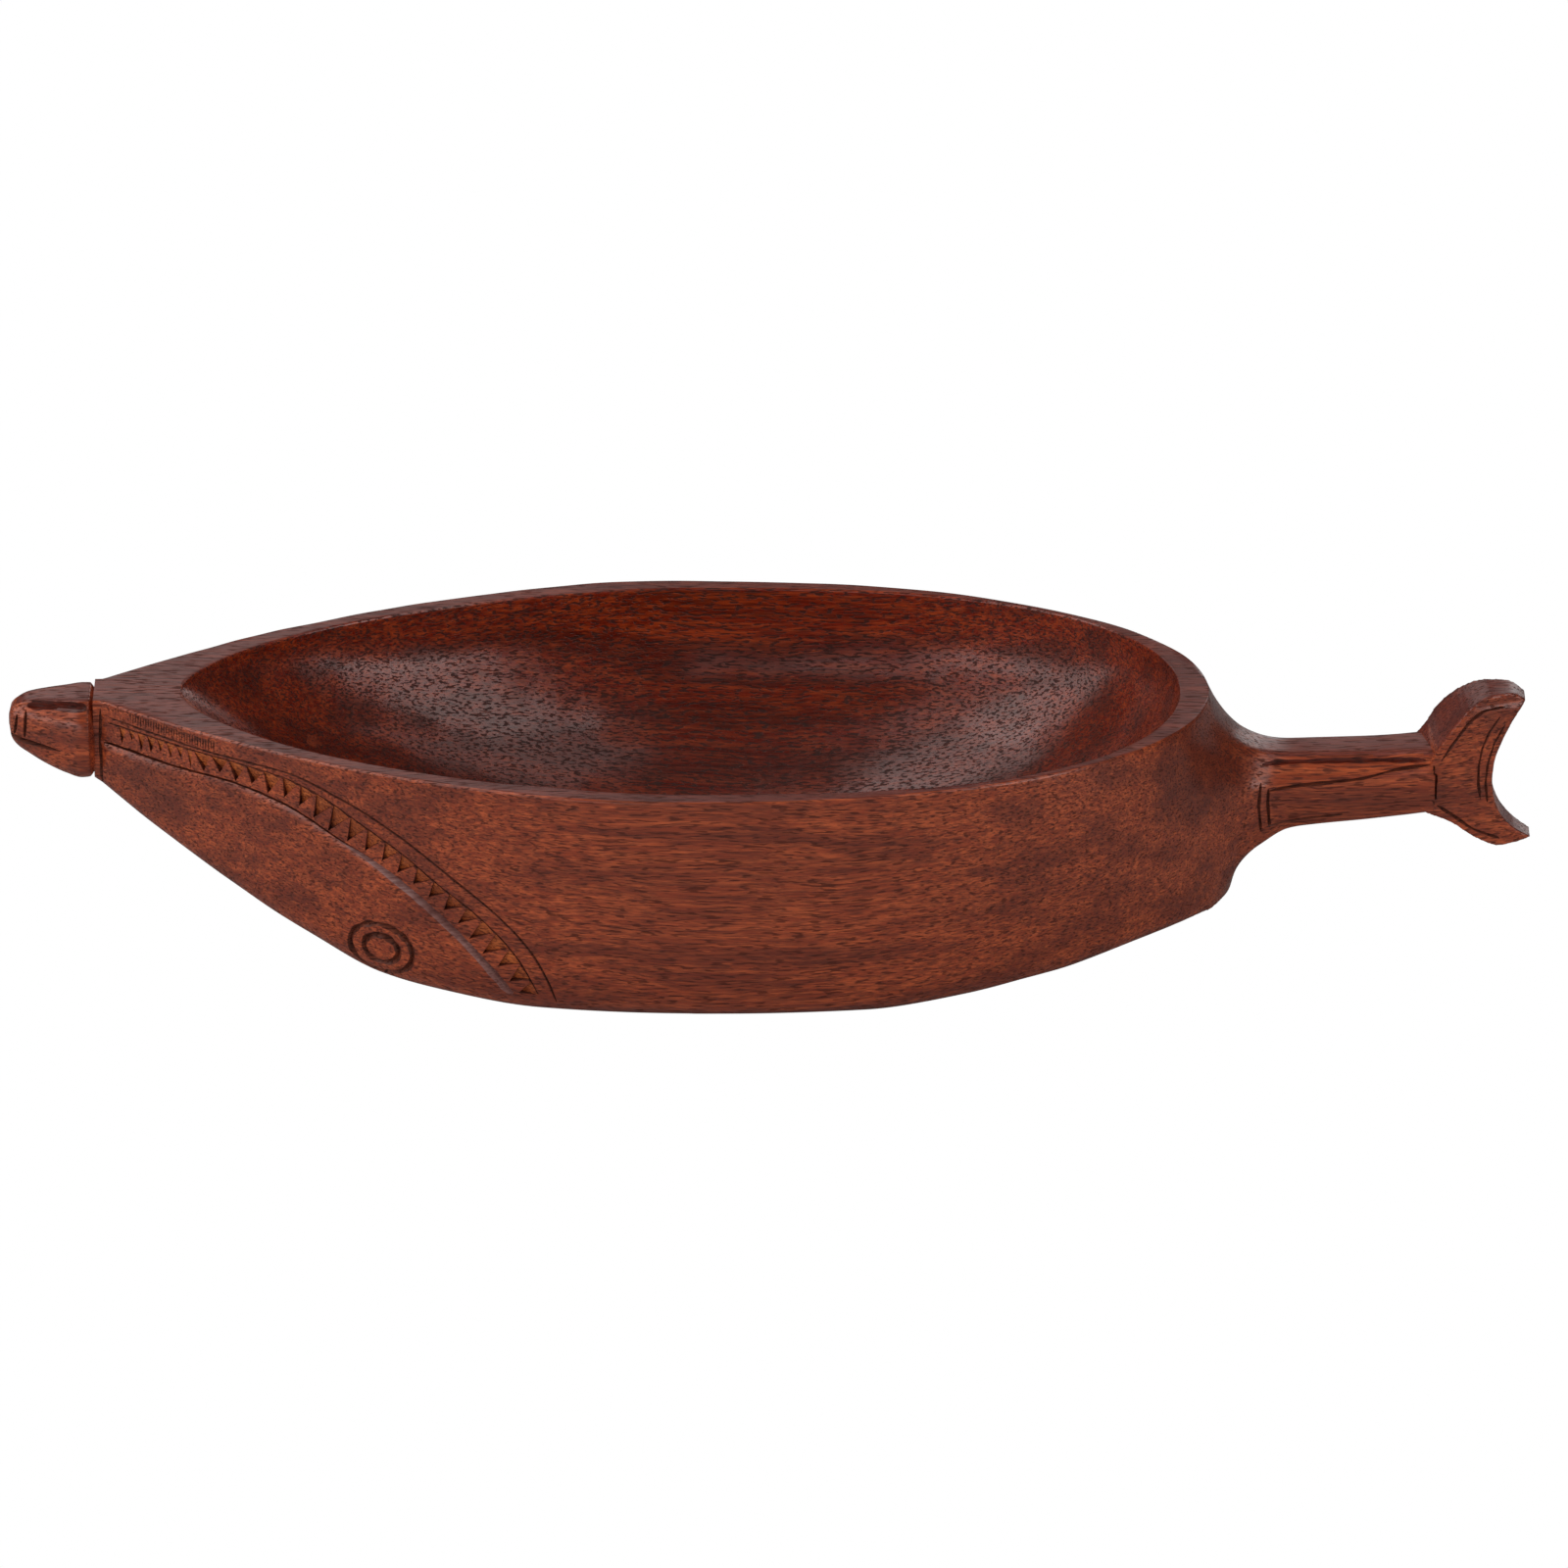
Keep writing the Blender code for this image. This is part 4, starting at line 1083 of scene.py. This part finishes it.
def make_chip():
    """One chip of unit size: wide and shallow along its upper edge, deep at its lower point."""
    bm = bmesh.new()
    wall = bm.faces.layers.bool.new("wall")
    top = [bm.verts.new(p) for p in ((-0.5, 0.0, CHIP_CLEAR), (0.5, 0.0, CHIP_CLEAR), (0.0, 1.0, CHIP_CLEAR))]
    low = [bm.verts.new(p) for p in ((-0.46, 0.03, -0.12), (0.46, 0.03, -0.12), (0.0, 0.92, -1.0))]
    bm.faces.new(top)
    bm.faces.new(low[::-1])
    for i in range(3):
        j = (i + 1) % 3
        face = bm.faces.new((top[i], low[i], low[j], top[j]))
        face[wall] = i > 0
    return link("chip", mesh_from(bm, "chip"))


chip = make_chip()
print("chip", len(chip.data.polygons), "faces")

# %% Rows of chips
NEAREST_STEPS, LEAST_CHIP = 500, 0.4


def chip_strokes(skin_tree, upper, lower, strip, start, end, steps=80):
    """Upper edges of a row of chips, with the direction and distance to their lower points."""
    x, depth = trace(upper, steps, start, end)
    all_x, all_depth = trace(lower, NEAREST_STEPS)
    nearest = np.argmin(np.hypot(all_x - x[:, None], all_depth - depth[:, None]), axis=1)
    low_x, low_depth = all_x[nearest], all_depth[nearest]
    gap = np.hypot(low_x - x, low_depth - depth)
    share = np.maximum(gap - strip, LEAST_CHIP) / gap
    strokes = []
    for side in (-1, 1):
        at, facing = on_side(skin_tree, x, depth, side)
        point, _ = on_side(skin_tree, x + (low_x - x) * share, depth + (low_depth - depth) * share, side)
        strokes.append({"points": at[::-side], "facing": facing[::-side], "across": (point - at)[::-side]})
    return strokes


def chips_along(name, strokes, pitch, deep, uneven, touch, floor_wood, seed):
    """Cuts a row of chips into the vessel at a pitch. Sizes in millimetres."""
    run = np.linalg.norm(np.diff(strokes[0]["points"], axis=0), axis=1).sum() / MM
    count = int(run / pitch) + 1
    cutter = run_tree(guide(name, strokes), chip_row, {
        "Chip": chip, "Count": count, "Width": run / (count - 1) * touch * MM, "Depth": deep * MM,
        "Uneven": uneven, "Seed": seed, "Floor Material": floor_wood, "Wall Material": groove_wood})
    cut_with(vessel, cutter)
    print(name, "cut,", count, "a side")


# the row of teeth, its crude start at the neck, and the chatter of the tool under the rim
EDGE_LINE = OUTER_LINE[:3] - [0, 3.6]
for name, strokes, pitch, deep, uneven, touch, floor_wood, seed in (
        ("chips", chip_strokes(head, CHIP_LINE, BORDER, 1.5, 0.19, 0.985), 5.4, 1.5, 0.15, 0.92, cut_wood, 3),
        ("nicks", chip_strokes(head, CHIP_LINE, BORDER, 2.2, 0.03, 0.165), 3.1, 0.8, 0.35, 0.7, cut_wood, 11),
        ("chatter", chip_strokes(head, EDGE_LINE, OUTER_LINE[:3], 0.3, 0.04, 0.62, 120),
         0.85, 0.22, 0.3, 0.8, groove_wood, 23)):
    chips_along(name, strokes, pitch, deep, uneven, touch, floor_wood, seed)
bpy.data.objects.remove(chip)

# %% The eye
EYE_X, EYE_DEPTH, EYE_LONG, EYE_TURN = -101.4, 52.6, 1.06, math.radians(-20)
EYE_UNSTEADY = 0.3
# radius, half-width and depth of the groove
EYE_RINGS = ((4.3, 0.95, 1.1), (7.8, 0.85, 0.95))


def eye_strokes(radius, steps=72):
    """One ring on each side, a little longer than high and turned."""
    a = np.linspace(0, 2 * np.pi, steps, endpoint=False)
    u, v = radius * EYE_LONG * np.cos(a), radius / EYE_LONG * np.sin(a)
    x = EYE_X + u * math.cos(EYE_TURN) - v * math.sin(EYE_TURN)
    depth = EYE_DEPTH - u * math.sin(EYE_TURN) - v * math.cos(EYE_TURN)
    strokes = []
    for side in (-1, 1):
        at, facing = on_side(head, x, depth, side)
        swell = 1 + EYE_UNSTEADY * waver(at / MM, *EYE_WAVES)
        strokes.append({"points": at, "facing": facing, "swell": swell})
    return strokes


for radius, half_width, deep in EYE_RINGS:
    cut_with(vessel, run_tree(guide("eye_ring", eye_strokes(radius), closed=True), parting_tool, {
        "Upper": half_width * MM, "Lower": half_width * MM, "Depth": deep * MM, "Material": groove_wood}))
print("eye cut, vessel has", len(vessel.data.polygons), "faces")

# %% Border lines on the stem and the fin
TAIL_STEPS, TAIL_FADE, TAIL_UNSTEADY = 40, (4, 4), 0.3
STEM_RIDGE = ((128.8, 17.9), (140.0, 17.5), (156.0, 17.0), (171.6, 16.4))
STEM_FRAME_TOP = ((130.4, 24.4), (140.0, 22.9), (154.0, 21.4), (164.0, 18.9), (173.0, 17.4))
STEM_FRAME_LOW = ((130.4, 34.8), (134.5, 34.1), (140.0, 33.2), (150.0, 31.9))
STEM_FRAME_LEFT = ((130.4, 23.8), (130.3, 28.0), (130.9, 34.9))
NECK_LINE = ((128.4, 22.0), (127.9, 28.0), (128.6, 35.8))
FIN_SEAM = ((173.7, 17.6), (174.3, 22.0), (174.0, 28.6))
FIN_LEADING = ((175.6, 16.6), (179.4, 10.6), (183.4, 5.4), (187.6, 3.0), (192.4, 2.6))
FIN_INNER = ((191.0, 5.2), (188.2, 9.4), (186.4, 14.0), (185.6, 19.0), (185.6, 24.0), (186.2, 28.6))
FIN_TRAILING = ((192.4, 7.6), (189.6, 12.8), (188.0, 18.6), (187.5, 24.0), (188.1, 29.6))
FIN_LOWER = ((174.8, 29.4), (179.0, 32.6), (184.6, 37.2), (191.6, 40.6))
tail = skin_of(stem, fin)
neck = skin_of(vessel, stem)


def two_way(points):
    """Points from the end nearer the snout, so that a line's curve is smooth."""
    return np.array(points if points[0][0] <= points[-1][0] else points[::-1])


# The stem ridge gets the dark wood with painted shade under the stem's top edge.
for name, targets, tree, points, half, deep, wood in (
        ("stem_ridge", [stem], tail, STEM_RIDGE, 0.7, 0.6, shade_line_wood),
        ("frame_top", [stem], tail, STEM_FRAME_TOP, 0.45, 0.6, groove_wood),
        ("frame_low", [stem], tail, STEM_FRAME_LOW, 0.45, 0.6, groove_wood),
        ("frame_left", [stem], tail, STEM_FRAME_LEFT, 0.45, 0.6, groove_wood),
        ("neck_line", [vessel, stem], neck, NECK_LINE, 0.4, 0.5, groove_wood),
        ("fin_seam", [stem, fin], tail, FIN_SEAM, 0.5, 0.7, groove_wood),
        ("fin_leading", [fin], tail, FIN_LEADING, 0.4, 0.5, groove_wood),
        ("fin_inner", [fin], tail, FIN_INNER, 0.35, 0.45, groove_wood),
        ("fin_trailing", [fin], tail, FIN_TRAILING, 0.35, 0.45, groove_wood),
        ("fin_lower", [fin], tail, FIN_LOWER, 0.4, 0.5, groove_wood)):
    strokes = line_strokes(tree, two_way(points), TAIL_STEPS, fade=TAIL_FADE, unsteady=TAIL_UNSTEADY)
    groove(name, targets, strokes, half, half, deep, wood)
print("stem", len(stem.data.polygons), "faces; fin", len(fin.data.polygons), "faces")

# %% Brow, mouth, lips and collar
BROW_LINE = ((-194.6, 3.0), (-190.0, 2.6), (-184.5, 2.3), (-178.9, 2.2))
MOUTH_LINE = ((-199.2, 11.6), (-196.0, 12.4), (-192.0, 13.0), (-186.0, 14.0))
LIP_LINE = ((-195.0, 4.2), (-195.2, 7.0), (-195.5, 11.4))
NOSE_LINE = ((-197.4, 5.4), (-197.7, 8.0), (-198.2, 11.0))
COLLAR_LINE = ((-175.3, 2.2), (-175.7, 12.0), (-175.2, 24.0))
nose = skin_of(snout)
# The brow line gets the dark wood with painted shade under the snout's top edge.
for name, points, steps, fade, upper, lower, deep, wood in (
        ("brow_line", BROW_LINE, 40, (5, 4), 1.2, 0.9, 0.9, shade_line_wood),
        ("nose_line", NOSE_LINE, 20, (4, 4), 0.5, 0.5, 0.7, groove_wood),
        ("mouth_line", MOUTH_LINE, 30, (2, 16), 0.8, 0.8, 1.2, groove_wood),
        ("lip_line", LIP_LINE, 20, (4, 4), 0.5, 0.5, 0.7, groove_wood)):
    groove(name, [snout], line_strokes(nose, points, steps, fade=fade), upper, lower, deep, wood)
collar = line_strokes(head, COLLAR_LINE, 40, fade=(6, 6), unsteady=0.3)
groove("collar_line", [vessel], collar, 0.35, 0.35, 0.4, groove_wood)
print("snout", len(snout.data.polygons), "faces")

# %% [markdown]
# ## Handing the pieces to the frame
#
# Each piece rides on the one body of the model and stands for its plain node. Faces are shaded smooth, and
# edges sharper than a ridge left by the tool stay crisp.

# %% Pieces on the frame
RIDGE_ANGLE = math.radians(32)
for obj, node, finish_slot in ((vessel, "bowl_vessel", "vessel_wood"), (snout, "snout", "snout_wood"),
                               (stem, "tail_stem", "stem_wood"), (fin, "tail_fin", "fin_wood")):
    obj.data.shade_smooth()
    obj.data.set_sharp_from_angle(angle=RIDGE_ANGLE)
    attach(obj, "root")
    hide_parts(node)
    print(obj.name, "stands for", node)

# %% [markdown]
# ## Floor, light and camera
#
# A product table: a pale floor and soft boxes round it. A tall strip stands on the left and another on the
# right, each with a low box beside it. A weaker box lies low in front, and dim ones hang overhead and behind.
# Nothing bright stands behind the camera, so the middle of the cavity stays dark and its two ends take the
# light. The camera is far off with a long lens, so the bowl is drawn almost without perspective.

# %% Floor
FLOOR_REACH = 4
floor_mesh = bpy.data.meshes.new("floor")
floor_corners = [(x * FLOOR_REACH, y * FLOOR_REACH, 0) for x, y in ((-1, -1), (1, -1), (1, 1), (-1, 1))]
floor_mesh.from_pydata(floor_corners, [], [(0, 1, 2, 3)])
floor = link("floor", floor_mesh)
floor_paint = bpy.data.materials.new("pale_floor")
floor_paint.use_nodes = True
floor_paint.node_tree.nodes.clear()
paint = Tree(floor_paint.node_tree)
matte = paint.add("ShaderNodeBsdfDiffuse", {"Color": (0.5, 0.5, 0.5, 1)})
bright = paint.add("ShaderNodeEmission", {"Color": (1, 1, 1, 1), "Strength": 1.0})
seen = paint.add("ShaderNodeLightPath").outputs["Is Camera Ray"]
both = paint.add("ShaderNodeMixShader", {0: seen, 1: matte.outputs[0], 2: bright.outputs[0]})
paint.add("ShaderNodeOutputMaterial", {"Surface": both.outputs[0]})
floor_mesh.materials.append(floor_paint)
print("floor", 2 * FLOOR_REACH, "m wide")

# %% Lights
LIGHT_DISTANCE = 2.2
LIGHT_AIM = Vector((0, 0, 0.04))


def softbox(name, azimuth, elevation, width, height, luminance):
    """Area light seen from the bowl, in degrees; azimuth 0 is the camera's side, plus is the tail's."""
    a, e = math.radians(azimuth), math.radians(elevation)
    towards = Vector((math.sin(a) * math.cos(e), -math.cos(a) * math.cos(e), math.sin(e)))
    light = bpy.data.lights.new(name, "AREA")
    light.shape = "RECTANGLE"
    light.size = 2 * LIGHT_DISTANCE * math.tan(math.radians(width / 2))
    light.size_y = 2 * LIGHT_DISTANCE * math.tan(math.radians(height / 2))
    light.energy = luminance * math.pi * light.size * light.size_y
    obj = bpy.data.objects.new(name, light)
    obj.location = LIGHT_AIM + towards * LIGHT_DISTANCE
    obj.rotation_euler = towards.to_track_quat("Z", "Y").to_euler()
    obj.visible_camera = False
    bpy.context.scene.collection.objects.link(obj)


# name, azimuth, elevation, width, height (degrees), luminance
LIGHTS = (
    ("left_strip", -75, 27, 28, 54, 1.5), ("left_low", -45, 5, 30, 26, 1.9),
    ("front_low", -15, 5, 28, 26, 1.0), ("right_strip", 45, 27, 26, 54, 1.5),
    ("right_low", 45, 4, 26, 20, 1.1),
    ("left_front_high", -50, 42, 26, 46, 0.6), ("left_overhead", -100, 62, 30, 30, 1.3),
    ("right_overhead", 75, 65, 36, 26, 0.7), ("back_overhead", -150, 65, 26, 26, 0.6),
    ("back_left", -165, 25, 24, 24, 0.45), ("back_right", 160, 14, 26, 24, 1.1))
for name, azimuth, elevation, width, height, luminance in LIGHTS:
    softbox(name, azimuth, elevation, width, height, luminance)
print(len(LIGHTS), "soft boxes at", LIGHT_DISTANCE, "m")

# %% Room
ROOM_LIGHT = 0.03
world = bpy.data.worlds.new("studio")
bpy.context.scene.world = world
world.use_nodes = True
room = Tree(world.node_tree)
around = world.node_tree.nodes["Background"]
around.inputs["Color"].default_value = (1, 1, 1, 1)
for_camera = room.add("ShaderNodeLightPath").outputs["Is Camera Ray"]
strength = room.add("ShaderNodeMapRange", {"Value": for_camera, "To Min": ROOM_LIGHT, "To Max": 1.0})
world.node_tree.links.new(strength.outputs[0], around.inputs["Strength"])
print("room light", ROOM_LIGHT)

# %% Camera
VIEW_ELEVATION = math.radians(24.5)
VIEW_DISTANCE = 3.6
VIEW_WIDTH = 0.4121
VIEW_AIM = Vector((0.0035, 0.0, 0.0403))
SENSOR = 36.0
camera_data = bpy.data.cameras.new("camera")
camera_data.sensor_width = SENSOR
camera_data.lens = SENSOR * VIEW_DISTANCE / VIEW_WIDTH
camera = bpy.data.objects.new("camera", camera_data)
towards = Vector((0, -math.cos(VIEW_ELEVATION), math.sin(VIEW_ELEVATION)))
camera.location = VIEW_AIM + VIEW_DISTANCE * towards
camera.rotation_euler = (VIEW_AIM - camera.location).to_track_quat("-Z", "Y").to_euler()
bpy.context.scene.collection.objects.link(camera)
bpy.context.scene.camera = camera
bpy.context.scene.view_settings.view_transform = "Standard"
print("camera", [round(v, 3) for v in camera.location], "lens", round(camera_data.lens, 1))
